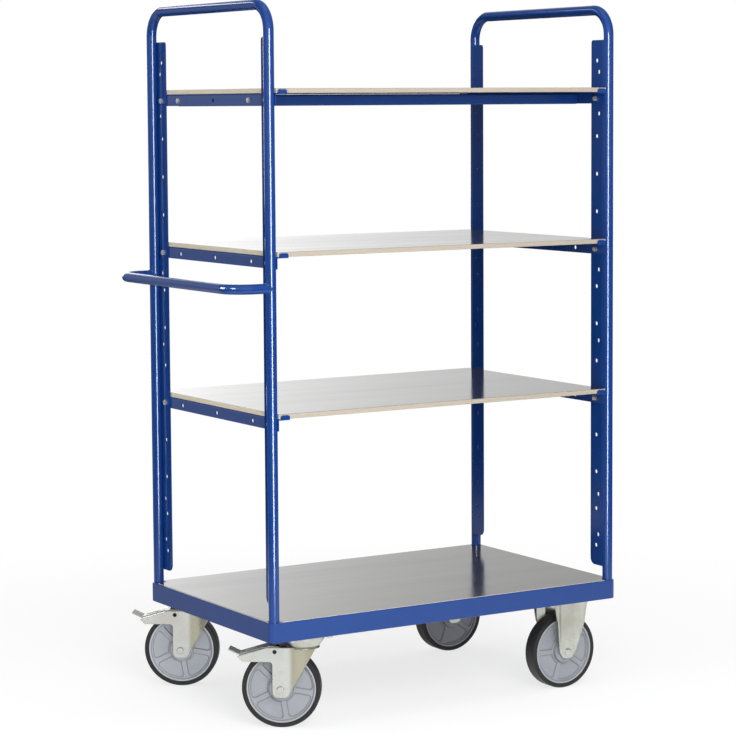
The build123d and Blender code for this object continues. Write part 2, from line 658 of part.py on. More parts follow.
def wheel_core(x, rib_turn):
    """Moulded core: hub, ribbed disc with sunk panels on each side, and the rim with its lips."""
    seat_half = RIM_HALF_WIDTH - RIM_LIP
    lip_inner = (PANEL_RADIUS + CORE_DRAFT, RIM_HALF_WIDTH)
    lip_outer = (RIM_RADIUS, RIM_HALF_WIDTH)
    hub_edge = (HUB_RADIUS, HUB_HALF)
    rounds = []
    for (radius, width), ease in ((lip_inner, LIP_ROUND), (lip_outer, LIP_ROUND), (hub_edge, HUB_ROUND)):
        rounds += [((radius, width), ease), ((radius, -width), ease)]
    body = turned_across(both_sides([
        (BEARING_RADIUS, HUB_NOSE_HALF), (HUB_NOSE_RADIUS, HUB_NOSE_HALF), (HUB_NOSE_RADIUS, HUB_HALF),
        hub_edge, (HUB_RADIUS + CORE_DRAFT, RIB_HALF), (PANEL_RADIUS, RIB_HALF), lip_inner, lip_outer,
        (RIM_RADIUS, seat_half), (RIM_SEAT, seat_half),
    ]), rounds)
    panels = Circle(PANEL_RADIUS - PANEL_MARGIN) - Circle(HUB_RADIUS + HUB_COLLAR)
    for number in range(RIB_COUNT):
        rib = Pos(PANEL_RADIUS / 2, 0) * Rectangle(PANEL_RADIUS, RIB_WIDTH)
        panels -= Rot(0, 0, 360 / RIB_COUNT * number) * rib
    panels = fillet(panels.vertices(), PANEL_ROUND)
    for side in SIDES.values():
        face = Plane(origin=(0, side * PANEL_HALF, 0), x_dir=(1, 0, 0), z_dir=(0, side, 0))
        body -= extrude(face * panels, amount=RIM_HALF_WIDTH - PANEL_HALF)
    return Pos(x, 0, WHEEL_RADIUS) * Rot(0, rib_turn, 0) * body


def tyre(x):
    """Solid tyre on the core's seat, between its lips, with rounded shoulders."""
    half = TYRE_WIDTH / 2
    seat_half = RIM_HALF_WIDTH - RIM_LIP
    profile = both_sides([
        (RIM_SEAT, seat_half), (RIM_RADIUS, seat_half),
        (RIM_RADIUS, half - TYRE_FLANK_DRAFT), (WHEEL_RADIUS, half),
    ])
    sheet = make_face(Polyline(*profile, close=True))
    sheet = fillet(sheet.vertices().sort_by(Axis.X)[-2:], TYRE_SHOULDER)
    return Pos(x, 0, WHEEL_RADIUS) * revolve(sheet, axis=Axis.Y)


def wheel_bearing(x):
    """Roller cage between hub and axle sleeve."""
    cage = turned_across([
        (SLEEVE_RADIUS + RUNNING, -HUB_NOSE_HALF), (BEARING_RADIUS, -HUB_NOSE_HALF),
        (BEARING_RADIUS, HUB_NOSE_HALF), (SLEEVE_RADIUS + RUNNING, HUB_NOSE_HALF),
    ])
    return Pos(x, 0, WHEEL_RADIUS) * cage


def arm_top(x):
    """Height of the pedal arm's upper face."""
    return ARM_TOP_Z - (x - ARM_X[0]) * ARM_SLOPE


def arm_slab(x0, x1, upper, lower, half):
    """Slab along the slope of the arm, between two depths under its upper face."""
    outline = [
        (x0, arm_top(x0) - lower), (x1, arm_top(x1) - lower),
        (x1, arm_top(x1) - upper), (x0, arm_top(x0) - upper),
    ]
    return side_prism(outline, -half, half)


def pedal_tread():
    """Raised foot plate with cross ribs."""
    tip = ARM_X[1]
    foot = arm_top(tip)
    rise = tan(radians(TREAD_RISE))
    end_z = foot + (TREAD_END_X - tip) * rise
    lean = TREAD_THICK * rise
    tread = side_prism([
        (tip - TREAD_THICK, foot - TREAD_THICK), (tip - TREAD_THICK, foot), (tip, foot), (TREAD_END_X, end_z),
        (TREAD_END_X + lean, end_z - TREAD_THICK), (tip + lean, foot - TREAD_THICK),
    ], -TREAD_HALF, TREAD_HALF)
    half = TREAD_RIB_HALF
    reach = TREAD_HALF - 2 * half
    for number in range(TREAD_RIB_COUNT):
        x = tip + TREAD_RIB_PITCH * (number + 1)
        z = foot + (x - tip) * rise
        tread += block(x - half, x + half, -reach, reach, z - half, z + half)
    return tread


def brake_pedal():
    """Pressed lever: two ears on the pivot rivets, a channel-shaped arm with a slot, and a raised tread."""
    front, back = EAR_X
    start, tip = ARM_X
    pivot_x, pivot_z = PIVOT
    eye = PIVOT_DIAMETER
    ear_profile = [
        (pivot_x - eye, pivot_z - eye / 4), (pivot_x + eye / 2, pivot_z - eye), (back, EAR_BOTTOM_Z),
        (back, arm_top(back)), (front, arm_top(front)), (pivot_x - eye, pivot_z + eye),
    ]
    lever = arm_slab(front, back, 0, BRIDGE_THICK, EAR_OUTER)
    for side in SIDES.values():
        lever += side_prism(ear_profile, side * (EAR_OUTER - EAR_WALL), side * EAR_OUTER)
    arm = arm_slab(start, tip, 0, ARM_DEPTH, ARM_HALF)
    arm -= arm_slab(start, tip, ARM_WALL, ARM_DEPTH, ARM_HALF - ARM_WALL)
    slot = extrude(SlotOverall(*ARM_SLOT), amount=ARM_DEPTH, both=True)
    arm -= Pos(ARM_SLOT_X, 0, arm_top(ARM_SLOT_X)) * slot
    lever += arm
    lever += pedal_tread()
    return lever - rod((pivot_x, -EAR_OUTER, pivot_z), (0, 1, 0), PIVOT_DIAMETER / 2 + RUNNING, 2 * EAR_OUTER)


def brake_shoe():
    """Pad under the arm, hollowed to the tyre with the pedal fully pressed."""
    travel = radians(PEDAL_TRAVEL)
    dx = TRAIL - PIVOT[0]
    dz = WHEEL_RADIUS - PIVOT[1]
    centre_x = PIVOT[0] + dx * cos(travel) - dz * sin(travel)
    centre_z = PIVOT[1] + dx * sin(travel) + dz * cos(travel)
    front, back = SHOE_X
    pad = side_prism([
        (front, SHOE_BOTTOM_Z[0]), (back, SHOE_BOTTOM_Z[1]),
        (back, arm_top(back) - ARM_WALL), (front, arm_top(front) - ARM_WALL),
    ], -SHOE_HALF, SHOE_HALF)
    return pad - rod((centre_x, -SHOE_HALF, centre_z), (0, 1, 0), WHEEL_RADIUS + PEDAL_GAP, 2 * SHOE_HALF)


def pedal_pivots():
    """Short hollow rivets in the legs, one a side."""
    rivets = []
    inner = EAR_OUTER - EAR_WALL - RIVET_END_PLAY
    for side in SIDES.values():
        plane = Plane(origin=(PIVOT[0], side * inner, PIVOT[1]), z_dir=(0, side, 0))
        ring = Circle(PIVOT_DIAMETER / 2) - Circle(PIVOT_BORE / 2)
        rivets.append(extrude(plane * ring, amount=FORK_OUTER - inner))
    return Compound(children=rivets)


def fixed_fork():
    """Pressed bracket: plate, and two legs whose edges fold outwards, with a lip that widens to the plate."""
    def section(z, share, lip):
        flare_x, flare_y = FLARE[0] * share, FLARE[1] * share
        bends = ((WEB_HALF, 0), (WEB_HALF + flare_x, flare_y), (WEB_HALF + flare_x + lip, flare_y))
        fold = FORK_WALL * tan(atan2(FLARE[1], FLARE[0]) / 2)
        outer = [(x, FORK_OUTER + y) for x, y in bends]
        inner = [(bends[2][0], FORK_INNER + flare_y)]
        inner += [(x + fold, FORK_INNER + y) for x, y in reversed(bends[:2])]
        half = outer + inner
        points = half + [(-x, y) for x, y in reversed(half)]
        folds = outer[:2] + inner[1:]
        rounds = [((side * x, y), FLARE_BEND * share) for x, y in folds for side in (-1, 1)]
        return Plane.XY.offset(z) * eased(points, rounds)

    leg = loft([
        section(FLARE_FOOT_Z, FLARE_FOOT_SHARE, EDGE_LIP),
        section(FLARE_FULL_Z, 1, EDGE_LIP),
        section(PLATE_BOTTOM_Z, 1, HEAD_LIP),
    ], ruled=True)
    foot_half = WEB_HALF + FLARE[0] * FLARE_FOOT_SHARE + EDGE_LIP
    foot_top = FLARE_FOOT_Z + TOE_SINK
    toe = eased(
        [(-foot_half, foot_top), (-TOE_HALF, TOE_Z), (TOE_HALF, TOE_Z), (foot_half, foot_top)],
        [((-TOE_HALF, TOE_Z), TOE_ROUND), ((TOE_HALF, TOE_Z), TOE_ROUND)],
    )
    leg += extrude(Plane.XZ.offset(-FORK_INNER) * toe, amount=-FORK_WALL)
    leg -= rod((0, 0, WHEEL_RADIUS), (0, 1, 0), AXLE_SHANK / 2, 2 * FORK_OUTER)
    return castor_plate() + leg + mirror(leg, about=Plane.XZ)


def plate_fasteners():
    """Bolts through castor plates and carriers, heads below, and their nuts."""
    bolts = []
    nuts = []
    inset = {-1: SWIVEL_INSET_X, 1: FIXED_INSET_X}
    length = PLATE_THICK + CARRIER_WALL + M10["nut"] + M10["past"]
    for end in ENDS.values():
        for x, y in castor_holes(end * (SPAN_X / 2 - inset[end])):
            bolts.append(hex_bolt((x, y, PLATE_BOTTOM_Z), (0, 0, 1), M10, length))
            nuts.append(hex_nut((x, y, PLATE_TOP_Z + CARRIER_WALL), (0, 0, 1), M10))
    return Compound(children=bolts), Compound(children=nuts)


def build():
    """All pieces of the trolley, by name, in the frame of the deck's centre."""
    pieces = {}
    pieces["deck_frame"] = deck_frame()
    pieces["deck_board"] = deck_board()
    swivel_x = -SPAN_X / 2 + SWIVEL_INSET_X
    fixed_x = SPAN_X / 2 - FIXED_INSET_X
    pieces["handle_end_castor_carrier"] = castor_carrier(swivel_x)
    pieces["far_end_castor_carrier"] = castor_carrier(fixed_x)
    pieces["deck_crossbeam"] = deck_crossbeam()
    pieces["push_handle"] = push_handle()
    for end_name, end in ENDS.items():
        pieces[end_name + "_end_frame"] = end_frame(end)
        for side_name, side in SIDES.items():
            pieces[end_name + "_" + side_name + "_strip"] = strip(end, side)
    for shelf, bolt_z in SHELF_BOLT_Z.items():
        pieces[shelf + "_shelf"] = shelf_board(bolt_z)
        for end_name, end in ENDS.items():
            pieces[shelf + "_" + end_name + "_bracket"] = shelf_bracket(end, bolt_z)
    for side_name, side in SIDES.items():
        pieces[side_name + "_top_rail"] = top_rail(side)
    pieces["shelf_bolts"], pieces["shelf_nuts"], pieces["rail_bolts"] = shelf_fasteners()
    pieces["castor_bolts"], pieces["castor_nuts"] = plate_fasteners()

    swivel_pieces = {
        "king_pin": king_pin(),
        "swivel_balls": swivel_balls(),
        "swivel_fork": swivel_fork(),
        "swivel_axle": axle(TRAIL, 1),
        "swivel_core": wheel_core(TRAIL, SWIVEL_RIB_TURN),
        "swivel_tyre": tyre(TRAIL),
        "swivel_bearing": wheel_bearing(TRAIL),
        "brake_pedal": brake_pedal(),
        "brake_shoe": brake_shoe(),
        "pedal_pivots": pedal_pivots(),
    }
    fixed_pieces = {
        "fixed_fork": fixed_fork(),
        "fixed_core": wheel_core(0, FIXED_RIB_TURN),
        "fixed_tyre": tyre(0),
        "fixed_bearing": wheel_bearing(0),
    }
    plate = swivel_plate()
    fixed_axles = []
    for side_name, side in SIDES.items():
        y = side * (SPAN_Y / 2 - CASTOR_INSET_Y)
        pieces[side_name + "_swivel_plate"] = Pos(swivel_x, y, 0) * plate
        for name, piece in swivel_pieces.items():
            pieces[side_name + "_" + name] = Pos(swivel_x, y, 0) * Rot(0, 0, SWIVEL_YAW) * piece
        for name, piece in fixed_pieces.items():
            pieces[side_name + "_" + name] = Pos(fixed_x, y, 0) * piece
        fixed_axles.append(Pos(fixed_x, y, 0) * axle(0, side))
    pieces["fixed_axles"] = Compound(children=fixed_axles)
    return pieces


def footprint_centre(pieces):
    """Middle of the whole trolley's box in X and Y, which becomes the origin."""
    boxes = [piece.bounding_box() for piece in pieces.values()]
    x = (min(box.min.X for box in boxes) + max(box.max.X for box in boxes)) / 2
    y = (min(box.min.Y for box in boxes) + max(box.max.Y for box in boxes)) / 2
    return x, y


def main():
    """Writes each piece to its own file, standing on the floor with the origin under the box's middle."""
    pieces = build()
    centre_x, centre_y = footprint_centre(pieces)
    print("deck centre lies at", round(-centre_x, 4), round(-centre_y, 4))
    os.makedirs("parts", exist_ok=True)
    for name, piece in pieces.items():
        export_step(Pos(-centre_x, -centre_y, 0) * piece, "parts/" + name + ".step")
    print(len(pieces), "pieces")


main()
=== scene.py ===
"""Finishes and fine meshes of a shelf trolley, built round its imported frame.

Lengths are metres in the frame's own axes: X runs from the handle end to the far end,
Y from the front to the rear, and Z up from the floor.
"""
import functools
import itertools
import json
import logging
import math
from dataclasses import dataclass, replace
from enum import Enum
from typing import Callable, Sequence

import bmesh
import bpy
import numpy as np
from mathutils import Matrix, Vector

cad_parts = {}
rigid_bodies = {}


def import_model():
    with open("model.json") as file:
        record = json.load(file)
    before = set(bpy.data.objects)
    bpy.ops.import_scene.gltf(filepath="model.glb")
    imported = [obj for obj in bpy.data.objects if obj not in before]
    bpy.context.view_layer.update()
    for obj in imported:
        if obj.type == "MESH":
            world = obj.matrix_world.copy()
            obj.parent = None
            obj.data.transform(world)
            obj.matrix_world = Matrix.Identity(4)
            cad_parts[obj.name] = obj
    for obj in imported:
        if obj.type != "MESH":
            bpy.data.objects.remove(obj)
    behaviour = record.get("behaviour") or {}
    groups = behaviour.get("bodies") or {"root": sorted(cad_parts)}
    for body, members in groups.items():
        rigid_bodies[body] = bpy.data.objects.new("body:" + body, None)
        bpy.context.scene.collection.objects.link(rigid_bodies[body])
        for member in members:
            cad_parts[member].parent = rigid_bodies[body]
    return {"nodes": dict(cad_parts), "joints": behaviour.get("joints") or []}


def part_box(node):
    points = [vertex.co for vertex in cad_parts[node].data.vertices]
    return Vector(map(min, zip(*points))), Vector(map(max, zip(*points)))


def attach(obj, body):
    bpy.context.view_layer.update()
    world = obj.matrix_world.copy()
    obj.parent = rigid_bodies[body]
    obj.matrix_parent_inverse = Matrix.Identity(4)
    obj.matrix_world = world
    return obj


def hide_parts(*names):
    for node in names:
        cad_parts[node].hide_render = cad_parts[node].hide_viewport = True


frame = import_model()

LOG = logging.getLogger("shelf_trolley")
FRAME_BODY = "frame"
LAY = "lay"
SMOOTH = "SMOOTHSTEP"
SHARP_ANGLE = math.radians(32)
FULL_TURN = 2 * math.pi
UNIT = (0.0, 1.0)
WHITE = (1.0, 1.0, 1.0)
ALONG = np.array((1.0, 0.0, 0.0))
UP = np.array((0.0, 0.0, 1.0))

Array = np.ndarray
Pair = tuple[float, float]
Colour = tuple[float, float, float]
Place = tuple[float, float, float]
Node = bpy.types.Node
Socket = bpy.types.NodeSocket
Tree = bpy.types.NodeTree


class Named(Enum):
    """Choice whose word is part of the names of its pieces."""

    @property
    def label(self) -> str:
        """Word that its pieces are named with."""
        return self.name.lower()


class End(Named):
    """The two ends of the trolley, with the sign of their X."""

    HANDLE = -1
    FAR = 1


class Side(Named):
    """The two long sides, with the sign of their Y."""

    FRONT = -1
    REAR = 1


class Shelf(Named):
    """The three boards above the deck, counted from the top."""

    TOP = 0
    MIDDLE = 1
    LOWER = 2


class Castor(Named):
    """The two kinds of castor, with the angle of their wheel's first rib in degrees."""

    SWIVEL = 45.0
    FIXED = 36.0


# Shader trees


class Mix(Enum):
    """What a Mix node mixes, with the numbers of its two inputs and its output."""

    FLOAT = (2, 3, 0)
    RGBA = (6, 7, 2)


class Nodes:
    """Adds and links the nodes of one shader tree."""

    def __init__(self, tree: Tree) -> None:
        """Keeps the tree that the nodes go into."""
        self.tree = tree

    def feed(self, node: Node, values: dict) -> None:
        """Feeds sockets of a node; a fixed colour gets full alpha.

        Args:
            node: node of this tree.
            values: socket names or numbers, each with an output to link or a fixed value.
        """
        for key, value in values.items():
            socket = node.inputs[key]
            if isinstance(value, Socket):
                self.tree.links.new(value, socket)
            else:
                socket.default_value = (*value, 1.0) if socket.type == "RGBA" else value

    def add(self, kind: str, values: dict | None = None, **settings: object) -> Node:
        """Adds a node.

        Args:
            kind: Blender's name of the node type.
            values: socket names or numbers, each with an output to link or a fixed value.
            settings: properties of the node itself.

        Returns:
            The new node.
        """
        node = self.tree.nodes.new(kind)
        for key, value in settings.items():
            setattr(node, key, value)
        self.feed(node, values or {})
        return node

    def math(self, operation: str, *terms: object) -> Socket:
        """Result of an operation on numbers or outputs."""
        return self.add("ShaderNodeMath", dict(enumerate(terms)), operation=operation).outputs[0]

    def vector(self, operation: str, *terms: object) -> Node:
        """Node of an operation on vectors or outputs."""
        return self.add("ShaderNodeVectorMath", dict(enumerate(terms)), operation=operation)

    def split(self, vector: Socket) -> list[Socket]:
        """X, Y and Z of a vector."""
        return list(self.add("ShaderNodeSeparateXYZ", {0: vector}).outputs)

    def blend(self, factor: Socket, low: object, high: object, kind: Mix = Mix.RGBA) -> Socket:
        """Adds a mix of two colours or numbers, each fixed or an output.

        Args:
            factor: share of the second one.
            low: result at factor 0.
            high: result at factor 1.
            kind: what is mixed.

        Returns:
            The mixed output.
        """
        first, second, result = kind.value
        values = {"Factor": factor, first: low, second: high}
        return self.add("ShaderNodeMix", values, data_type=kind.name).outputs[result]

    def ramp(self, value: Socket, limits: Pair = UNIT, ends: Pair = UNIT, kind: str = "LINEAR") -> Socket:
        """Result that goes from one end to the other between two limits of a value.

        Args:
            value: output that drives it.
            limits: values where the change starts and stops.
            ends: results there.
            kind: Blender's name of the curve between them.

        Returns:
            The result's output.
        """
        values = {"From Min": limits[0], "From Max": limits[1], "To Min": ends[0], "To Max": ends[1]}
        node = self.add("ShaderNodeMapRange", {"Value": value, **values}, interpolation_type=kind)
        return node.outputs[0]

    def place(self) -> Socket:
        """Object coordinates."""
        return self.add("ShaderNodeTexCoord").outputs["Object"]

    def stretched(self, stretch: Socket) -> Socket:
        """Object coordinates times a stretch along each axis."""
        return self.vector("MULTIPLY", self.place(), stretch).outputs[0]

    def along(self, place: Socket, way: Place) -> Socket:
        """How far a place lies along a direction: their dot product."""
        return self.vector("DOT_PRODUCT", place, way).outputs["Value"]

    def noise(self, place: Socket, scale: object, grain: Pair) -> Socket:
        """Noise at a place, with its grain given as octaves and roughness."""
        values = {"Vector": place, "Scale": scale, "Detail": grain[0], "Roughness": grain[1]}
        return self.add("ShaderNodeTexNoise", values).outputs[0]

    def stored(self) -> list[Socket]:
        """The three numbers stored on the mesh's points."""
        return self.split(self.add("ShaderNodeAttribute", attribute_name=LAY).outputs["Vector"])

    def effect(self, wire: Callable[["Nodes", dict[str, Socket]], Socket], **values: object) -> Socket:
        """Value that a shared node group puts out here; the group is built when it is first asked for.

        Args:
            wire: function that adds the nodes behind the group's inputs; the group bears its name.
            values: inputs of the group with their values here, numbers or vectors.

        Returns:
            The group's output.
        """
        tree = bpy.data.node_groups.get(wire.__name__)
        if tree is None:
            tree = bpy.data.node_groups.new(wire.__name__, "ShaderNodeTree")
            for label, value in values.items():
                kind = "NodeSocketVector" if isinstance(value, tuple) else "NodeSocketFloat"
                tree.interface.new_socket(label, in_out="INPUT", socket_type=kind)
            tree.interface.new_socket("Value", in_out="OUTPUT", socket_type="NodeSocketFloat")
            nodes = Nodes(tree)
            given = {socket.name: socket for socket in nodes.add("NodeGroupInput").outputs}
            nodes.add("NodeGroupOutput", {"Value": wire(nodes, given)})
        return self.add("ShaderNodeGroup", values, node_tree=tree).outputs[0]

    def rays(self) -> tuple[Socket, Socket, Socket]:
        """Tells the kinds of ray apart.

        Returns:
            Shares of camera rays, of mirrored and refracted rays, and of all other rays.
        """
        path = self.add("ShaderNodeLightPath").outputs
        camera = path["Is Camera Ray"]
        mirror = self.math("MAXIMUM", path["Is Glossy Ray"], path["Is Transmission Ray"])
        return camera, mirror, self.math("SUBTRACT", 1.0, self.math("MAXIMUM", camera, mirror))


def bare_nodes(owner: bpy.types.World | bpy.types.Material) -> Nodes:
    """Empties the shader tree of a world or a material.

    Args:
        owner: world or material.

    Returns:
        Its tree.
    """
    owner.use_nodes = True
    owner.node_tree.nodes.clear()
    return Nodes(owner.node_tree)


# Octaves and roughness of each noise, then how the groups use it
BROAD_GRAIN = (3.0, 0.55)
FINE_GRAIN = (4.0, 0.6)
PEEL_GRAIN = (2.0, 0.5)
DUST_GRAIN = (4.0, 0.5)
FINE_DENSITY = 6.0
CONTRAST = (0.34, 0.66)
DUST_SCALE = 160.0
DUST_FACING = (0.2, 1.0)


def mottle(nodes: Nodes, given: dict[str, Socket]) -> Socket:
    """Broad noise mixed with a denser one on Object coordinates, with raised contrast.

    Args:
        nodes: tree of the group.
        given: its inputs Scale, Stretch and Fine, the share of the denser noise.

    Returns:
        Share between two tones.
    """
    place = nodes.stretched(given["Stretch"])
    broad = nodes.noise(place, given["Scale"], BROAD_GRAIN)
    fine = nodes.noise(place, nodes.math("MULTIPLY", given["Scale"], FINE_DENSITY), FINE_GRAIN)
    return nodes.ramp(nodes.blend(given["Fine"], broad, fine, Mix.FLOAT), CONTRAST)


def relief(nodes: Nodes, given: dict[str, Socket]) -> Socket:
    """Height of orange peel, casting skin and grain: a noise by the inputs Scale and Stretch."""
    return nodes.noise(nodes.stretched(given["Stretch"]), given["Scale"], PEEL_GRAIN)


def settled_dust(nodes: Nodes, given: dict[str, Socket]) -> Socket:
    """Dust on faces that look up: its amount times the upward share of the normal and a noise.

    Args:
        nodes: tree of the group.
        given: its input Amount.

    Returns:
        Mask of the dust.
    """
    upward = nodes.split(nodes.add("ShaderNodeNewGeometry").outputs["Normal"])[2]
    noise = nodes.noise(nodes.place(), DUST_SCALE, DUST_GRAIN)
    patchy = nodes.math("MULTIPLY", nodes.ramp(upward, DUST_FACING), noise)
    return nodes.math("MULTIPLY", patchy, given["Amount"])


# Finishes


@dataclass(frozen=True)
class Finish:
    """Surface whose tone and gloss drift a little, with a fine relief and a breath of dust."""

    name: str
    slot: str
    low: Colour
    high: Colour
    gloss: Pair
    metallic: float = 0.0
    drift_scale: float = 12.0
    stretch: Place = (1.0, 1.0, 1.0)
    fine: float = 0.33
    relief_scale: float = 500.0
    relief_depth: float = 0.00002
    dust: float = 0.04
    dust_tone: Colour = (0.45, 0.43, 0.40)

    @functools.cache
    def material(self) -> bpy.types.Material:
        """Builds the material of this finish on first use.

        Returns:
            The material.
        """
        material = bpy.data.materials.new(self.name)
        material.use_nodes = True
        nodes = Nodes(material.node_tree)
        share = nodes.effect(mottle, Scale=self.drift_scale, Stretch=self.stretch, Fine=self.fine)
        dust = nodes.effect(settled_dust, Amount=self.dust)
        height = nodes.effect(relief, Scale=self.relief_scale, Stretch=self.stretch)
        values = {"Strength": 1.0, "Distance": self.relief_depth, "Height": height}
        bump = nodes.add("ShaderNodeBump", values)
        nodes.feed(material.node_tree.nodes["Principled BSDF"], {
            "Metallic": self.metallic,
            "Base Color": nodes.blend(dust, self.tone(nodes, share), self.dust_tone),
            "Roughness": nodes.ramp(share, ends=self.gloss),
            "Normal": bump.outputs["Normal"],
        })
        return material

    def tone(self, nodes: Nodes, share: Socket) -> Socket:
        """Colour of the clean surface, between its two tones by a share that drifts over it."""
        return nodes.blend(share, self.low, self.high)


@dataclass(frozen=True)
class SawnEdge(Finish):
    """Sawn edge of a layered board: veneers stacked in height, dark and light in turn."""

    veneers: float = 9.0
    wander: float = 0.05
    grain_share: float = 0.35
    end_grain: Colour = (0.84, 0.76, 0.59)
    glue: Colour = (0.20, 0.13, 0.075)
    glue_start: float = 0.88
    glue_share: float = 0.35
    film: Colour = (0.040, 0.033, 0.027)
    skin: float = 0.035

    def tone(self, nodes: Nodes, share: Socket) -> Socket:
        """Veneer bands by the height stored on the mesh, with glue lines and film at both faces.

        Args:
            nodes: tree of the material.
            share: output that drifts over the surface.

        Returns:
            Colour output.
        """
        _, height, end_cut = nodes.stored()
        layer = nodes.math("MULTIPLY", nodes.math("MULTIPLY_ADD", share, self.wander, height), self.veneers)
        wood = nodes.blend(nodes.math("PINGPONG", layer, 1.0), self.low, self.high)
        grained = nodes.blend(nodes.ramp(share, ends=(0.0, self.grain_share)), wood, self.low)
        cut = nodes.blend(end_cut, grained, self.end_grain)
        line = nodes.math("GREATER_THAN", nodes.math("FRACT", layer), self.glue_start)
        glued = nodes.blend(nodes.math("MULTIPLY", line, self.glue_share), cut, self.glue)
        from_middle = nodes.math("ABSOLUTE", nodes.math("SUBTRACT", height, 0.5))
        return nodes.blend(nodes.math("GREATER_THAN", from_middle, 0.5 - self.skin), glued, self.film)


@dataclass(frozen=True)
class Moulding(Finish):
    """Moulded plastic with painted shade in its corners and a painted highlight on its lip, by shares
    stored on the mesh.
    """

    # Colour of the painted shade in the corners, then colour of the painted highlight on the lip
    corner: Colour = (0.25, 0.26, 0.285)
    rubbed: Colour = (0.48, 0.50, 0.53)

    def tone(self, nodes: Nodes, share: Socket) -> Socket:
        """Drifting tone, then the painted lip highlight by the first stored share and the painted corner
        shade by the third.

        Args:
            nodes: tree of the material.
            share: output that drifts over the surface.

        Returns:
            Colour output.
        """
        # First stored share: painted highlight on the lip; third: painted shade in the corners
        lip, _, painted_shade = nodes.stored()
        lipped = nodes.blend(lip, super().tone(nodes, share), self.rubbed)
        return nodes.blend(painted_shade, lipped, self.corner)


@dataclass(frozen=True)
class ForkZinc(Finish):
    """Passivated zinc with painted shade, a darker yellow, on the flanks where the sheet was bent, past a
    line across the fork.
    """

    along: Place = (1.0, 0.0, 0.0)
    bend: float = 0.0
    spread_over: float = 0.014
    # Colour of the painted shade on the flanks
    strained: Colour = (0.47, 0.455, 0.35)

    def tone(self, nodes: Nodes, share: Socket) -> Socket:
        """Drifting tone, then the painted flank shade where the place along the fork is short of the bend.

        Args:
            nodes: tree of the material.
            share: output that drifts over the surface.

        Returns:
            Colour output.
        """
        place = nodes.along(nodes.place(), self.along)
        bent = nodes.ramp(place, (self.bend, self.bend - self.spread_over), kind=SMOOTH)
        return nodes.blend(bent, super().tone(nodes, share), self.strained)


BLUE_PAINT = Finish(
    "stoved_blue", "blue_paint", (0.0065, 0.046, 0.228), (0.0085, 0.054, 0.252), (0.12, 0.18),
    drift_scale=5.0, relief_scale=420.0, relief_depth=0.000012, dust=0.03,
)
DECK_FILM = Finish(
    "deck_face", "deck_film", (0.034, 0.028, 0.023), (0.044, 0.037, 0.031), (0.13, 0.19),
    drift_scale=3.0, stretch=(0.25, 3.0, 1.0), relief_scale=260.0, relief_depth=0.000006, dust=0.05,
)
SHELF_FILM = replace(
    DECK_FILM, name="shelf_face", slot="shelf_film", gloss=(0.11, 0.16), relief_depth=0.000005, dust=0.03,
)
SAWN_PLY = SawnEdge(
    "sawn_ply", "shelf_film", (0.43, 0.37, 0.29), (0.60, 0.54, 0.46), (0.50, 0.68),
    drift_scale=40.0, stretch=(0.12, 0.12, 1.0), relief_scale=900.0, relief_depth=0.00005, dust=0.0,
)
DECK_EDGE = replace(
    SAWN_PLY, name="deck_edge", slot="deck_film", low=(0.66, 0.64, 0.60), high=(0.78, 0.76, 0.73),
    gloss=(0.40, 0.55), relief_depth=0.00003, skin=0.004,
)
BOLT_ZINC = Finish(
    "bolt_zinc", "zinc_fasteners", (0.68, 0.68, 0.66), (0.82, 0.82, 0.80), (0.22, 0.34),
    metallic=0.75, drift_scale=90.0, relief_scale=1500.0, relief_depth=0.00001, dust=0.03,
)
CASTOR_ZINC = Finish(
    "passivated_zinc", "castor_zinc", (0.50, 0.495, 0.42), (0.72, 0.74, 0.70), (0.24, 0.30),
    metallic=0.92, drift_scale=9.0, fine=0.06, relief_scale=700.0, relief_depth=0.000004, dust=0.02,
)
FORK_ZINC = ForkZinc(
    "swivel_fork_zinc", "castor_zinc", (0.64, 0.635, 0.585), (0.79, 0.81, 0.78), (0.24, 0.30),
    metallic=0.92, drift_scale=9.0, fine=0.06, relief_scale=700.0, relief_depth=0.000004, dust=0.02,
)
PEDAL_ZINC = Finish(
    "bright_pedal_zinc", "pedal_zinc", (0.62, 0.62, 0.59), (0.74, 0.74, 0.71), (0.50, 0.60),
    metallic=1.0, drift_scale=30.0, relief_scale=800.0, relief_depth=0.00002, dust=0.05,
)
CORE_PLASTIC = Moulding(
    "core_plastic", "wheel_core", (0.320, 0.336, 0.368), (0.358, 0.374, 0.405), (0.38, 0.48),
    drift_scale=26.0, relief_scale=1400.0, relief_depth=0.00002, dust=0.05,
)
TYRE_RUBBER = Finish(
    "tyre_rubber", "tyre", (0.012, 0.012, 0.0127), (0.020, 0.020, 0.021), (0.48, 0.62),
    drift_scale=32.0, relief_scale=1600.0, relief_depth=0.00004, dust=0.06, dust_tone=(0.20, 0.19, 0.18),
)
BEARING_CAGE = Finish(
    "bearing_cage", "bearing", (0.10, 0.10, 0.105), (0.15, 0.15, 0.155), (0.35, 0.5),
    drift_scale=60.0, relief_scale=1500.0, relief_depth=0.00002,
)
BRAKE_RUBBER = Finish(
    "shoe_rubber", "brake_rubber", (0.016, 0.016, 0.016), (0.026, 0.026, 0.026), (0.6, 0.75),
    drift_scale=50.0, relief_scale=1600.0, relief_depth=0.00004,
)


# Surfaces on grids


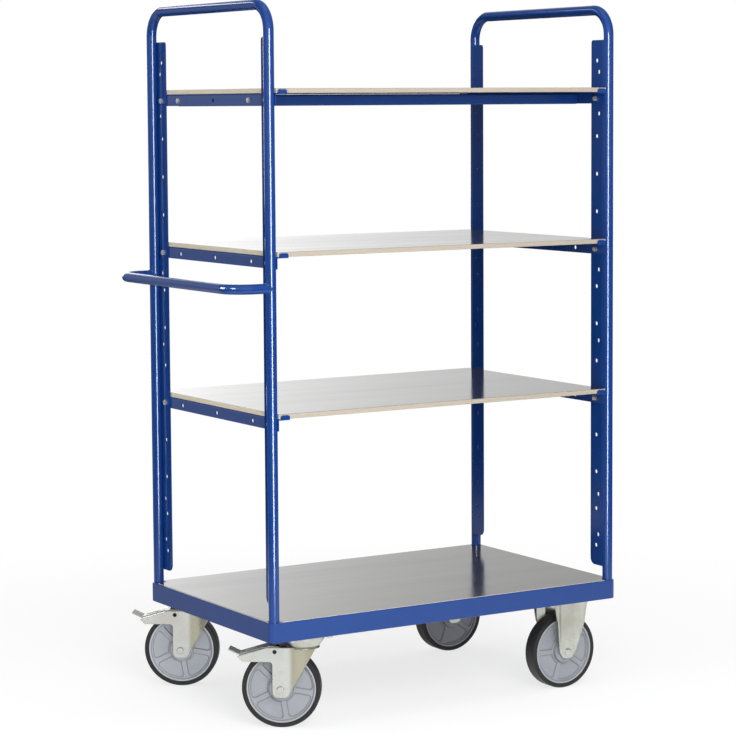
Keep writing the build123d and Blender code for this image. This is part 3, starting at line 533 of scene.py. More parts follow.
class Surface:
    """Grids and flat caps gathered into one mesh."""

    def __init__(self) -> None:
        """Starts with no points."""
        self.points: list[Array] = []
        self.lay: list[Array] = []
        self.faces: list[list[int]] = []
        self.finish: list[int] = []
        self.count = 0

    def grid(
        self, points: Array, wrap_rows: bool = False, caps: bool = False, finish: int | Array = 0,
        lay: Array | None = None,
    ) -> None:
        """Adds quads between neighbouring points of a grid, whose last column meets the first.

        Args:
            points: rows by columns by three.
            wrap_rows: whether the last row meets the first.
            caps: whether the first and last row are closed by a flat face.
            finish: number of the finish, or one number for each row of quads.
            lay: three numbers to store on each point, rows by columns by three.
        """
        rows, columns = points.shape[:2]
        quad_rows = rows if wrap_rows else rows - 1
        row, column = np.meshgrid(np.arange(quad_rows), np.arange(columns), indexing="ij")
        row_next, column_next = (row + 1) % rows, (column + 1) % columns
        corners = ((row, column), (row_next, column), (row_next, column_next), (row, column_next))
        quads = np.stack([self.count + i * columns + j for i, j in corners], axis=-1)
        self.faces.extend(quads.reshape(-1, 4).tolist())
        numbers = np.broadcast_to(finish, quad_rows)
        self.finish.extend(np.repeat(numbers, columns).tolist())
        if caps:
            ring = np.arange(columns) + self.count
            self.faces.extend([ring[::-1].tolist(), (ring + (rows - 1) * columns).tolist()])
            self.finish.extend([numbers[0], numbers[-1]])
        self.points.append(points.reshape(-1, 3))
        self.lay.append(np.zeros((rows * columns, 3)) if lay is None else lay.reshape(-1, 3))
        self.count += rows * columns

    def piece(self, node: str, made: str, finishes: Sequence[Finish], body: str = FRAME_BODY) -> None:
        """Makes the object that stands for a node, with every closed shell facing outwards.

        Args:
            node: node that it replaces.
            made: word that its name ends with.
            finishes: finishes in the order of their numbers.
            body: body that carries it.
        """
        name = f"{node}_{made}"
        mesh = bpy.data.meshes.new(name)
        mesh.from_pydata(np.concatenate(self.points).tolist(), [], self.faces)
        mesh.polygons.foreach_set("material_index", np.array(self.finish, dtype=np.int32))
        lay = mesh.attributes.new(LAY, "FLOAT_VECTOR", "POINT")
        lay.data.foreach_set("vector", np.concatenate(self.lay).astype(np.float32).ravel())
        work = bmesh.new()
        work.from_mesh(mesh)
        bmesh.ops.recalc_face_normals(work, faces=work.faces)
        work.to_mesh(mesh)
        work.free()
        mesh.polygons.foreach_set("use_smooth", np.ones(len(mesh.polygons), dtype=bool))
        mesh.set_sharp_from_angle(angle=SHARP_ANGLE)
        for finish in finishes:
            mesh.materials.append(finish.material())
        item = bpy.data.objects.new(name, mesh)
        bpy.context.scene.collection.objects.link(item)
        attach(item, body)
        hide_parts(node)
        LOG.info("%s: %d faces on %s", name, len(mesh.polygons), body)


def array(point: Sequence[float]) -> Array:
    """Point or direction as an array."""
    return np.array(tuple(point), float)


def unit(vectors: Array) -> Array:
    """Vectors scaled to length 1."""
    return vectors / np.linalg.norm(vectors, axis=-1, keepdims=True)


def chords(loop: Array) -> Array:
    """Unit direction at each point of a closed line, from the point before it to the point after."""
    return unit(np.roll(loop, -1, axis=0) - np.roll(loop, 1, axis=0))


def lifted(outline: Array, height: float) -> Array:
    """Points with one more number, their height, which is the same for all."""
    return np.column_stack([outline, np.full(len(outline), height)])


def corners_of(node: str) -> tuple[Array, Array]:
    """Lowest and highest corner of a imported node."""
    low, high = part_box(node)
    return array(low), array(high)


def hinge(name: str) -> tuple[Array, Array]:
    """Point on the axis of a joint and the axis's unit direction."""
    joint = next(joint for joint in frame["joints"] if joint["name"] == name)
    return array(joint["pos_m"]), array(joint["axis"])


GUARD_SHARE = 0.12
GUARD_LIMIT = 0.3


def rounded(corners: Sequence[Pair], radii: Sequence[float], steps: int, closed: bool) -> Array:
    """Flat outline whose corners are arcs.

    Each arc touches both sides of its corner at radius times tan(half the turn) from the corner, and a
    point just before and after it keeps the flat beside it flat in the shading.

    Args:
        corners: corner points in order.
        radii: one radius for each corner.
        steps: points on each arc.
        closed: whether the last corner is joined to the first.

    Returns:
        Points of the outline, two numbers each.
    """
    places = np.asarray(corners, float)
    count = len(places)
    spans = []
    for number, radius in enumerate(radii):
        here = places[number]
        if radius <= 0 or (not closed and number in (0, count - 1)):
            spans.append(here[None])
            continue
        sides = np.stack([places[number - 1], places[(number + 1) % count]]) - here
        lengths = np.linalg.norm(sides, axis=1)
        back, ahead = sides / lengths[:, None]
        half = math.acos(np.clip(back @ ahead, -1, 1)) / 2
        tangent = radius / math.tan(half)
        axis = -unit(back + ahead)
        middle = here - axis * radius / math.sin(half)
        start, finish = here + back * tangent, here + ahead * tangent
        angle = np.linspace(-1, 1, steps)[:, None] * (math.pi / 2 - half)
        arc = middle + radius * (np.cos(angle) * axis + np.sin(angle) * unit(finish - start))
        guards = np.minimum(GUARD_SHARE * radius, GUARD_LIMIT * np.maximum(lengths - tangent, 0))
        spans.append(np.vstack([start + back * guards[0], arc, finish + ahead * guards[1]]))
    return np.vstack(spans)


def inset(outline: Array, distance: float) -> Array:
    """Closed outline, counter-clockwise, moved inwards by a distance along its normals."""
    along = chords(outline)
    return outline + np.stack([-along[:, 1], along[:, 0]], axis=1) * distance


def bent_path(corners: Array, bend: float, steps: int) -> tuple[Array, Array]:
    """Centre line of straight runs joined by arcs, with its direction.

    Args:
        corners: points where the runs meet, and both ends.
        bend: radius of every arc.
        steps: points on each arc.

    Returns:
        Points and unit directions.
    """
    ways = unit(np.diff(corners, axis=0))
    points, directions = [corners[:1]], [ways[:1]]
    for here, before, after in zip(corners[1:-1], ways[:-1], ways[1:]):
        turn = math.acos(float(np.clip(before @ after, -1, 1)))
        start = here - before * bend * math.tan(turn / 2)
        inward = unit(after - before * (before @ after))
        angle = np.linspace(0, turn, steps)[:, None]
        points.append(start + bend * (np.sin(angle) * before + (1 - np.cos(angle)) * inward))
        directions.append(np.cos(angle) * before + np.sin(angle) * inward)
    return np.vstack([*points, corners[-1:]]), np.vstack([*directions, ways[-1:]])


def carried(path: Array, directions: Array, across: Array, profile: Array) -> Array:
    """Closed profile carried along a flat path.

    A point is the path's point plus the profile's first number along the path's side, which is the
    direction crossed with the plane's normal, plus its second number along that normal.

    Args:
        path: points of the path.
        directions: unit direction at each point.
        across: normal of the plane that the path lies in.
        profile: points of the section, two numbers each.

    Returns:
        Grid of path points by profile points.
    """
    side = np.cross(directions, across)
    return path[:, None] + side[:, None] * profile[None, :, :1] + across * profile[None, :, 1:]


def circle(radius: float, count: int) -> Array:
    """Points evenly spaced round a circle."""
    angle = np.arange(count) * FULL_TURN / count
    return radius * np.stack([np.cos(angle), np.sin(angle)], axis=1)


def turned(profile: Array, centre: Array, axis: Array, start: Array, count: int) -> Array:
    """Profile of radius and width, turned about an axis.

    Args:
        profile: radius and place along the axis, or a grid of them with one row for each angle.
        centre: point on the axis where the width is 0.
        axis: unit direction of the axis.
        start: unit direction of angle 0.
        count: number of angles.

    Returns:
        Grid of angles by profile points.
    """
    round_trip = circle(1.0, count)
    outwards = round_trip[:, :1] * start + round_trip[:, 1:] * np.cross(axis, start)
    rows = np.broadcast_to(profile, (count, *profile.shape[-2:]))
    return centre + outwards[:, None] * rows[..., :1] + axis * rows[..., 1:]


# Tube frames and handle


@dataclass(frozen=True)
class Uprights:
    """Tube of one end frame: its radius, the X of its plane and the Y of each upright."""

    radius: float
    x: float
    y: dict[Side, float]

    @classmethod
    def of(cls, end: End) -> "Uprights":
        """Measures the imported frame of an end.

        Args:
            end: end of the trolley.

        Returns:
            Its uprights.
        """
        low, high = corners_of(end.label + "_end_frame")
        radius = (high[0] - low[0]) / 2
        y = {Side.FRONT: low[1] + radius, Side.REAR: high[1] - radius}
        return cls(radius, (low[0] + high[0]) / 2, y)


@dataclass
class Tubework:
    """U-shaped tube at each end and the push handle welded to one of them."""

    top_bend: float = 0.065
    handle_bend: float = 0.060
    sides: int = 48
    bend_steps: int = 40
    bead: float = 0.0022
    bead_sides: int = 14
    bead_swell: float = 0.12
    ripples: int = 34
    ripple_points: int = 6
    fillet_leg: float = 0.0045
    fillet_dip: float = 0.0003
    fillet_lap: float = 0.0002

    def build(self) -> None:
        """Builds both end frames, the handle and its weld beads."""
        for end in End:
            self.end_frame(end)
        self.push_handle()

    def end_frame(self, end: End) -> None:
        """Sweeps one U of tube from foot to foot.

        Args:
            end: end of the trolley.
        """
        node = end.label + "_end_frame"
        low, high = corners_of(node)
        tube = Uprights.of(end)
        x, foot, top = tube.x, low[2], high[2] - tube.radius
        front, rear = tube.y.values()
        corners = np.array([(x, front, foot), (x, front, top), (x, rear, top), (x, rear, foot)])
        path, ways = bent_path(corners, self.top_bend, self.bend_steps)
        surface = Surface()
        surface.grid(carried(path, ways, ALONG, circle(tube.radius, self.sides)), caps=True)
        for side in Side:
            surface.grid(self.seam_fillet(end, side, tube), caps=True)
        surface.piece(node, "tube", [BLUE_PAINT])

    def seam_fillet(self, end: End, side: Side, tube: Uprights) -> Array:
        """Weld that fills the wedge between an upright and the edge of its strip.

        Its face runs from the strip's inner corner to a point on the tube's skin, one leg away from where
        the strip's outer corner touches it, with a slight dip in the middle. Its edges lap into both.

        Args:
            end: end of the trolley.
            side: side of the upright.
            tube: uprights of that end.

        Returns:
            Grid of two heights by section points.
        """
        low, high = corners_of(f"{end.label}_{side.label}_strip")
        depth = abs((high if end is End.HANDLE else low)[0] - tube.x)
        edge = abs((low if side is Side.FRONT else high)[1] - tube.y[side])
        touch = math.asin(edge / tube.radius)
        angle = np.array([touch - self.fillet_leg / tube.radius, touch])
        skin, back = (tube.radius - self.fillet_lap) * np.column_stack([np.cos(angle), np.sin(angle)])
        corner = array((depth, edge + self.fillet_lap))
        section = np.array([corner, (corner + skin) / 2 - (self.fillet_dip, 0), skin, back])
        ring = array((tube.x, tube.y[side])) - section * (end.value, side.value)
        return np.stack([lifted(ring, z) for z in (low[2], high[2])])

    def push_handle(self) -> None:
        """Sweeps the handle between the uprights, its ends cut to their round, with a bead at each."""
        low, high = corners_of("push_handle")
        tube = Uprights.of(End.HANDLE)
        radius = (high[2] - low[2]) / 2
        out, z = low[0] + radius, (low[2] + high[2]) / 2
        front, rear = low[1] + radius, high[1] - radius
        corners = np.array([(tube.x, front, z), (out, front, z), (out, rear, z), (tube.x, rear, z)])
        path, ways = bent_path(corners, self.handle_bend, self.bend_steps)
        points = carried(path, ways, UP, circle(radius, self.sides))
        surface = Surface()
        for row, y in ((0, front), (-1, rear)):
            points[row, :, 0] = tube.x - np.sqrt(tube.radius**2 - (points[row, :, 1] - y) ** 2)
            surface.grid(self.weld_ring(points[row]), wrap_rows=True)
        surface.grid(points)
        surface.piece("push_handle", "tube", [BLUE_PAINT])

    def weld_ring(self, seam: Array) -> Array:
        """Bead along a closed seam: a small round section that swells and narrows in ripples.

        Args:
            seam: points of the seam.

        Returns:
            Grid of seam points by section points.
        """
        count = self.ripple_points * self.ripples
        place = np.linspace(0, len(seam), count, endpoint=False)
        looped = np.vstack([seam, seam[:1]])
        line = np.stack([np.interp(place, np.arange(len(looped)), axis) for axis in looped.T], axis=1)
        along = chords(line)
        away = line - line.mean(axis=0)
        away = unit(away - along * (away * along).sum(axis=1, keepdims=True))
        ripple = 1 + self.bead_swell * np.sin(np.arange(count) * FULL_TURN / self.ripple_points)
        section = circle(self.bead, self.bead_sides)
        return line[:, None] + ripple[:, None, None] * (
            away[:, None] * section[None, :, :1] + np.cross(along, away)[:, None] * section[None, :, 1:]
        )


# Boards


@dataclass
class Boards:
    """Deck board and shelf boards: film on both faces, sawn edges eased by a small round."""

    ease: float = 0.0007
    deck_ease: float = 0.0002
    ease_steps: int = 5
    face_ring: float = 2.0
    film_rings: int = 3
    corner: float = 0.0020
    notch_round: float = 0.004
    notch_room: float = 0.00305
    steps: int = 7

    def build(self) -> None:
        """Builds the deck board and the three shelves."""
        self.board("deck_board", self.deck_outline(), [DECK_FILM, DECK_EDGE], self.deck_ease)
        for shelf in Shelf:
            node = shelf.label + "_shelf"
            (x0, y0, _), (x1, y1, _) = corners_of(node)
            outline = rounded([(x0, y0), (x1, y0), (x1, y1), (x0, y1)], [self.corner] * 4, self.steps, True)
            self.board(node, outline, [SHELF_FILM, SAWN_PLY], self.ease)

    def deck_outline(self) -> Array:
        """Rectangle with a notch round each upright.

        Returns:
            Points of the outline, counter-clockwise.
        """
        low, high = corners_of("deck_board")
        handle, far = map(Uprights.of, End)
        reach = handle.radius + self.notch_room
        x0, x1 = handle.x + reach, far.x - reach
        y0, y1 = handle.y[Side.FRONT] + reach, handle.y[Side.REAR] - reach
        corners = [
            (x0, low[1]), (x1, low[1]), (x1, y0), (high[0], y0),
            (high[0], y1), (x1, y1), (x1, high[1]), (x0, high[1]),
            (x0, y1), (low[0], y1), (low[0], y0), (x0, y0),
        ]
        return rounded(corners, [self.corner, self.corner, self.notch_round] * 4, self.steps, True)

    def board(self, node: str, outline: Array, finishes: Sequence[Finish], ease: float) -> None:
        """Stacks insets of the outline from the lower face to the upper.

        A ring at the eased edge lies at 1 - cos(angle) times the ease inside the outline and at
        1 - sin(angle) times the ease from the face. Each point stores its share of the height and how
        nearly the edge there runs across the board.

        Args:
            node: board to replace.
            outline: its outline seen from above.
            finishes: finish of both faces and finish of the edge.
            ease: round of its edges.
        """
        low, high = corners_of(node)
        angle = np.linspace(0, math.pi / 2, self.ease_steps)
        shrink, rise = ease * (1 - np.cos(angle)), ease * (1 - np.sin(angle))
        face = [self.face_ring * ease]
        insets = np.concatenate([face, shrink[::-1], shrink, face])
        heights = np.concatenate([low[2:], low[2] + rise[::-1], high[2] - rise, high[2:]])
        rings = np.stack([lifted(inset(outline, distance), z) for distance, z in zip(insets, heights)])
        lay = np.zeros(rings.shape)
        lay[..., 1] = ((heights - low[2]) / (high[2] - low[2]))[:, None]
        lay[..., 2] = np.abs(chords(outline)[:, 1])
        sawn = np.zeros(len(insets) - 1, dtype=int)
        sawn[self.film_rings:-self.film_rings] = 1
        surface = Surface()
        surface.grid(rings, caps=True, finish=sawn, lay=lay)
        surface.piece(node, "layered", finishes)


# Fasteners


@dataclass(frozen=True)
class Thread:
    """Sizes of one bolt and its nut."""

    flats: float
    head: float
    nut: float
    shank: float
    pitch: float


M8 = Thread(0.013, 0.0053, 0.0065, 0.008, 0.00125)
M10 = Thread(0.016, 0.0064, 0.008, 0.010, 0.0015)


@dataclass
class Fasteners:
    """Hexagon bolts and nuts of the shelves, the rails and the castor plates."""

    bolt_below_flange: float = 0.0165
    hole_column: float = 0.033
    strip_thick: float = 0.003
    angle_thick: float = 0.003
    rail_plug: float = 0.008
    shelf_past: float = 0.003
    plate_thick: float = 0.0055
    plate_holes: Pair = (0.105, 0.080)
    carrier_wall: float = 0.004
    castor_past: float = 0.002
    tip_gap: float = 0.0005
    chamfer_circle: float = 0.475
    chamfer_slope: float = math.tan(math.radians(30))
    head_middle: float = 0.2
    bore_chamfer: float = 0.06
    thread_depth: float = 0.3
    tip_depths: float = 3.0
    sides: int = 48
    rows_per_turn: int = 8

    def build(self) -> None:
        """Builds each group of bolts and nuts as one piece."""
        self.shelf_group()
        self.castor_group()

    def hexagon(self, size: Thread) -> tuple[Array, float, Array]:
        """Chamfered hexagon: its radius is half the flats over the cosine of the angle from a flat.

        Args:
            size: sizes of the bolt.

        Returns:
            Radius at each angle, radius where the chamfer starts, and how far it falls at each angle.
        """
        sixth = FULL_TURN / 6
        angle = np.arange(self.sides) * FULL_TURN / self.sides
        radius = size.flats / 2 / np.cos((angle + sixth / 2) % sixth - sixth / 2)
        start = self.chamfer_circle * size.flats
        return radius, start, (radius - start) * self.chamfer_slope

    def bolt(
        self, surface: Surface, seat: Array, way: Array, size: Thread, length: float, bare: float,
    ) -> None:
        """Adds a bolt: chamfered head, shank, and a thread on its last stretch.

        The thread's radius is a cosine of the height in pitches less the turn.

        Args:
            surface: surface that takes the bolt.
            seat: point under the head.
            way: unit direction of the shank.
            size: sizes of the bolt.
            length: length of the shank.
            bare: length of the thread at the end.
        """
        hexagon, start, drop = self.hexagon(size)
        head, shank, depth = size.head, size.shank / 2, self.thread_depth * size.pitch
        climb = np.linspace(length - bare, length, int(bare / size.pitch * self.rows_per_turn) + 1)
        turn = np.arange(self.sides) / self.sides
        cut = depth * (1 + np.cos(FULL_TURN * (climb[:, None] / size.pitch - turn[None])))
        middle, tip = self.head_middle * size.flats, shank - self.tip_depths * depth
        radii = [middle, start, hexagon, hexagon, shank, shank, *(shank - cut), tip]
        heights = [-head, -head, drop - head, 0, 0, length - bare - depth, *climb, length + depth]
        self.turn(surface, radii, heights, seat, way, caps=True)

    def nut(self, surface: Surface, seat: Array, way: Array, size: Thread) -> None:
        """Adds a nut chamfered on both faces.

        Args:
            surface: surface that takes the nut.
            seat: point on the face that it stands on.
            way: unit direction away from that face.
            size: sizes of the nut.
        """
        hexagon, start, drop = self.hexagon(size)
        bore, chamfer = size.shank / 2, self.bore_chamfer * size.flats
        radii = [bore, bore + chamfer, start, hexagon, hexagon, start, bore]
        heights = [size.nut - chamfer, size.nut, size.nut, size.nut - drop, drop, 0, 0]
        self.turn(surface, radii, heights, seat, way, caps=False)

    def turn(
        self, surface: Surface, radii: Sequence[object], heights: Sequence[object],
        seat: Array, way: Array, caps: bool,
    ) -> None:
        """Stacks rings about an axis, each radius and height a number or one for each angle.

        Args:
            surface: surface that takes them.
            radii: radius of each ring.
            heights: height of each ring.
            seat: point where the height is 0.
            way: unit direction of the axis.
            caps: whether both ends are closed, or else the last ring meets the first.
        """
        grids = [[np.broadcast_to(ring, self.sides) for ring in rings] for rings in (radii, heights)]
        profile = np.stack(grids, axis=-1).transpose(1, 0, 2)
        points = turned(profile, seat, way, ALONG if way[2] else UP, self.sides)
        surface.grid(points.transpose(1, 0, 2), wrap_rows=not caps, caps=caps)

    def shelf_group(self) -> None:
        """Bolts and nuts through strips and brackets, and the bolts into the rails."""
        bolts, nuts, rails = Surface(), Surface(), Surface()
        uprights = Uprights.of(End.HANDLE)
        stack, past = self.strip_thick + self.angle_thick, M8.nut + self.shelf_past
        rail_length = self.angle_thick + self.rail_plug - self.tip_gap
        for end, side in itertools.product(End, Side):
            inward = -end.value * ALONG
            strip_low, strip_high = corners_of(f"{end.label}_{side.label}_strip")
            outer = (strip_low if end is End.HANDLE else strip_high)[0]
            y = uprights.y[side] - side.value * self.hole_column
            for shelf in Shelf:
                seat = array((outer, y, self.bolt_height(shelf)))
                self.bolt(bolts, seat, inward, M8, stack + past - self.tip_gap, past)
                self.nut(nuts, seat + inward * stack, inward, M8)
            rail = sum(corners_of(side.label + "_top_rail")) / 2
            seat = array((outer, rail[1], self.bolt_height(Shelf.TOP))) + inward * self.strip_thick
            self.bolt(rails, seat, inward, M8, rail_length, self.rail_plug)
        for node, surface in (("shelf_bolts", bolts), ("shelf_nuts", nuts), ("rail_bolts", rails)):
            surface.piece(node, "fine", [BOLT_ZINC])

    def bolt_height(self, shelf: Shelf) -> float:
        """Height of a shelf's bolts, below the bracket's flange that carries the board."""
        return corners_of(shelf.label + "_shelf")[0][2] - self.bolt_below_flange

    def castor_group(self) -> None:
        """Bolts and nuts through castor plates and carriers."""
        bolts, nuts = Surface(), Surface()
        grip, past = self.plate_thick + self.carrier_wall, M10.nut + self.castor_past
        plates = (("swivel_plate", "handle_end_castor_carrier"), ("fixed_fork", "far_end_castor_carrier"))
        for side, (plate, carrier) in itertools.product(Side, plates):
            centre = sum(corners_of(f"{side.label}_{plate}")) / 2
            centre[2] = corners_of(carrier)[0][2] - self.plate_thick
            for corner in itertools.product((-0.5, 0.5), repeat=2):
                seat = centre + (*np.multiply(corner, self.plate_holes), 0)
                self.bolt(bolts, seat, UP, M10, grip + past - self.tip_gap, past)
                self.nut(nuts, seat + UP * grip, UP, M10)
        bolts.piece("castor_bolts", "fine", [BOLT_ZINC])
        nuts.piece("castor_nuts", "fine", [BOLT_ZINC])


# Wheels


@dataclass
class Wheels:
    """Moulded cores with sunk panels between five ribs, solid tyres, and the rivets of the pedals."""

    rim_radius: float = 0.0880
    rim_seat: float = 0.0870
    rim_half: float = 0.0190
    lip: float = 0.0030
    rim_rounds: tuple[float, ...] = (0, 0.0018, 0.0014, 0.0010, 0.0003, 0.0003, 0)
    panel_inner: float = 0.0345
    panel_outer: float = 0.0795
    panel_round: float = 0.0105
    panel_wall: float = 0.0022
    panel_depth: float = 0.0040
    disc_inner: float = 0.0320
    disc_outer: float = 0.0820
    disc_half: float = 0.0135
    disc_rows: int = 44
    slope: float = 0.0020
    rib_half: float = 0.0060
    ribs: int = 5
    hub_radius: float = 0.0300
    hub_half: float = 0.0240
    nose_radius: float = 0.0190
    nose_half: float = 0.0325
    bore: float = 0.0135
    hub_rounds: tuple[float, ...] = (0, 0.0006, 0.0016, 0.0008, 0.0020, 0.0014, 0)
    angles: int = 430
    arc_steps: int = 5
    tyre_radius: float = 0.1000
    tyre_half: float = 0.0210
    tyre_flank: float = 0.0200
    flank_swell: float = 0.0004
    shoulder: float = 0.0045
    groove_radius: float = 0.0922
    groove_width: float = 0.0014
    groove_depth: float = 0.0004
    seat_rounds: tuple[float, ...] = (0, 0.0003, 0.0003, 0.0012)
    groove_rounds: tuple[float, ...] = (0.0005, 0.0006, 0.0005)
    tyre_angles: int = 240
    tyre_steps: int = 9
    # Bands, middle and width, of painted shade by the panel walls, inside the rim's lip and round the hub,
    # then of the painted highlight on the lip
    grime_panel: Pair = (0.0012, 0.0015)
    grime_rim: Pair = (0.0825, 0.0012)
    grime_hub: Pair = (0.0312, 0.0017)
    rubbed_lip: Pair = (0.0866, 0.0020)
    rivet_radius: float = 0.0060
    rivet_bore: float = 0.00475
    rivet_round: float = 0.0004
    rivet_plug: float = 0.0020
    rivet_reach: Pair = (0.0292, 0.0370)
    rivet_sides: int = 48

    def build(self) -> None:
        """Builds the core and the tyre of all four wheels, and the rivets of both pedals."""
        for side in Side:
            for castor in Castor:
                name = f"{side.label}_{castor.label}"
                self.core(name, math.radians(castor.value))
                self.tyre(name)
            self.pivots(side.label)

    def spun(self, name: str, profile: Array, count: int) -> Array:
        """Profile turned about a wheel's axle, from the level direction square to it."""
        centre, axis = hinge(name + "_wheel_spin")
        return turned(profile, centre, axis, np.cross(axis, UP), count)

    def pivots(self, side: str) -> None:
        """Turns the two hollow rivets of a pedal, each a ring with a rounded rim and a dark plug in its
        bore that paints the shade inside the hollow.

        Args:
            side: label of the castor's side.
        """
        centre, axis = hinge(side + "_pedal_press")
        ease, rim, bore = self.rivet_round, self.rivet_radius, self.rivet_bore
        inner, outer = self.rivet_reach
        ring = np.array([
            (bore, inner), (rim, inner), (rim, outer - ease), (rim - ease, outer),
            (bore + ease, outer), (bore, outer - ease),
        ])
        # The dark plug in the bore paints the shade inside the hollow rivet
        plug = np.array([(bore, inner), (bore, inner + self.rivet_plug)])
        surface = Surface()
        for way in (axis, -axis):
            shell = turned(ring, centre, way, UP, self.rivet_sides)
            filling = turned(plug, centre, way, UP, self.rivet_sides)
            surface.grid(shell.transpose(1, 0, 2), wrap_rows=True)
            surface.grid(filling.transpose(1, 0, 2), caps=True, finish=1)
        surface.piece(side + "_pedal_pivots", "plugged", [CASTOR_ZINC, BRAKE_RUBBER], side + "_swivel")

    def core(self, name: str, first_rib: float) -> None:
        """Turns the core's closed profile and sinks the panels between the ribs.

        A point of the disc sinks by the panel's depth times a smooth step of its distance from the
        panel's edge. That distance is the round less the length of what is missing to the round from the
        rib's side and from the panel's outer arc, or the distance from its inner arc if that is less.

        Args:
            name: name of the wheel.
            first_rib: angle of one rib from the start.
        """
        face, seat = self.disc_half, self.rim_half - self.lip
        disc = np.linspace(self.disc_inner + self.slope, self.disc_outer - self.slope, self.disc_rows)
        inner = rounded(
            [(self.bore, 0), (self.bore, self.nose_half), (self.nose_radius, self.nose_half),
             (self.nose_radius, self.hub_half), (self.hub_radius, self.hub_half),
             (self.disc_inner, face), (disc[0], face)],
            self.hub_rounds, self.arc_steps, False,
        )
        outer = rounded(
            [(disc[-1], face), (self.disc_outer, face), (self.disc_outer + self.slope, self.rim_half),
             (self.rim_radius, self.rim_half), (self.rim_radius, seat), (self.rim_seat, seat),
             (self.rim_seat, 0)],
            self.rim_rounds, self.arc_steps, False,
        )
        half = np.vstack([inner[1:], lifted(disc[1:-1], face), outer[:-1]])
        panels = slice(len(inner) - 2, len(inner) + len(disc) - 2)
        angle = np.arange(self.angles)[:, None] * FULL_TURN / self.angles
        pitch = FULL_TURN / self.ribs
        turn = (-angle - first_rib + pitch / 2) % pitch - pitch / 2
        radius = half[panels, 0][None]
        from_rib = radius * np.abs(np.sin(turn)) - self.rib_half
        from_arc = self.panel_outer - radius
        short = [np.maximum(self.panel_round - gap, 0) for gap in (from_rib, from_arc)]
        inside = np.minimum(self.panel_round - np.hypot(*short), radius - self.panel_inner)
        share = np.clip(inside / self.panel_wall, 0, 1)
        near = np.tile(half, (self.angles, 1, 1))
        near[:, panels, 1] -= self.panel_depth * share**2 * (3 - 2 * share)
        lay = np.zeros((self.angles, len(half), 3))
        # First stored share: painted highlight on the rim's lip; third: painted shade at the rim's corner,
        # the hub's ring and the panel walls
        lay[..., 0] = self.ring(half[:, 0], self.rubbed_lip)
        painted_shade = [self.ring(half[:, 0], band) for band in (self.grime_rim, self.grime_hub)]
        lay[..., 2] = np.maximum(*painted_shade)
        lay[:, panels, 2] = np.maximum(lay[:, panels, 2], self.ring(inside, self.grime_panel))
        profile = np.concatenate([near, near[:, ::-1] * (1, -1)], axis=1)
        stored = np.concatenate([lay, lay[:, ::-1]], axis=1)
        surface = Surface()
        surface.grid(self.spun(name, profile, self.angles), wrap_rows=True, lay=stored)
        surface.piece(name + "_core", "moulded", [CORE_PLASTIC], name + "_wheel")

    def ring(self, distance: Array, band: Pair) -> Array:
        """Share that falls off on both sides of a band's middle as a bell of the band's width."""
        middle, width = band
        return np.exp(-((distance - middle) / width) ** 2)

    def tyre(self, name: str) -> None:
        """Turns the tyre's closed profile: seat, flanks with one groove, rounded shoulders and tread.

        Args:
            name: name of the wheel.
        """
        groove, width = self.groove_radius, self.groove_width
        flank, seat = self.tyre_flank + self.flank_swell, self.rim_half - self.lip
        half = rounded(
            [(self.rim_seat, 0), (self.rim_seat, seat), (self.rim_radius, seat),
             (self.rim_radius, self.tyre_flank), (groove - width, flank),
             (groove, flank - self.groove_depth), (groove + width, flank),
             (self.tyre_radius, self.tyre_half), (self.tyre_radius, 0)],
            [*self.seat_rounds, *self.groove_rounds, self.shoulder, 0], self.tyre_steps, False,
        )
        profile = np.vstack([half, half[-2:0:-1] * (1, -1)])
        surface = Surface()
        surface.grid(self.spun(name, profile, self.tyre_angles), wrap_rows=True)
        surface.piece(name + "_tyre", "turned", [TYRE_RUBBER], name + "_wheel")


# Nodes that keep their shape


KEPT_FINISHES: dict[Finish, tuple[str, ...]] = {
    BLUE_PAINT: ("deck_frame", "castor_carrier", "deck_crossbeam", "strip", "bracket", "top_rail"),
    CASTOR_ZINC: ("swivel_plate", "king_pin", "fixed_fork", "fixed_axles"),
    FORK_ZINC: ("swivel_fork", "swivel_axle"),
    BOLT_ZINC: ("swivel_balls",),
    BEARING_CAGE: ("bearing",),
    PEDAL_ZINC: ("brake_pedal",),
    BRAKE_RUBBER: ("brake_shoe",),
}


@dataclass
class KeptNodes:
    """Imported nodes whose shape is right, dressed with the finish of each."""

    flank_start: float = 0.036

    def dress(self) -> None:
        """Gives every node that is still shown its finish."""
        for name, item in frame["nodes"].items():
            if item.hide_render:
                continue
            finish = next(
                finish for finish, words in KEPT_FINISHES.items() if any(word in name for word in words)
            )
            if finish is FORK_ZINC:
                finish = self.bent(name.split("_")[0])
            item.data.materials.clear()
            item.data.materials.append(finish.material())
            LOG.info("%s: kept, %s", name, finish.name)

    def bent(self, side: str) -> ForkZinc:
        """Fork zinc whose painted flank shade starts at the line where the flanks of one swivel fork start,
        measured from its king pin.

        Args:
            side: label of the castor's side.

        Returns:
            Finish of that fork.
        """
        joints = ("swivel_turn", "swivel_wheel_spin")
        king_pin, axle = (hinge(f"{side}_{joint}")[0] * (1, 1, 0) for joint in joints)
        along = unit(axle - king_pin)
        line = float(king_pin @ along) + self.flank_start
        return replace(FORK_ZINC, name=f"{side}_{FORK_ZINC.name}", along=tuple(along.tolist()), bend=line)


# Studio


class Light(Enum):
    """What a lamp is for: a mirrored highlight alone, or an even fill alone."""

    HIGHLIGHT = "highlight"
    FILL = "fill"


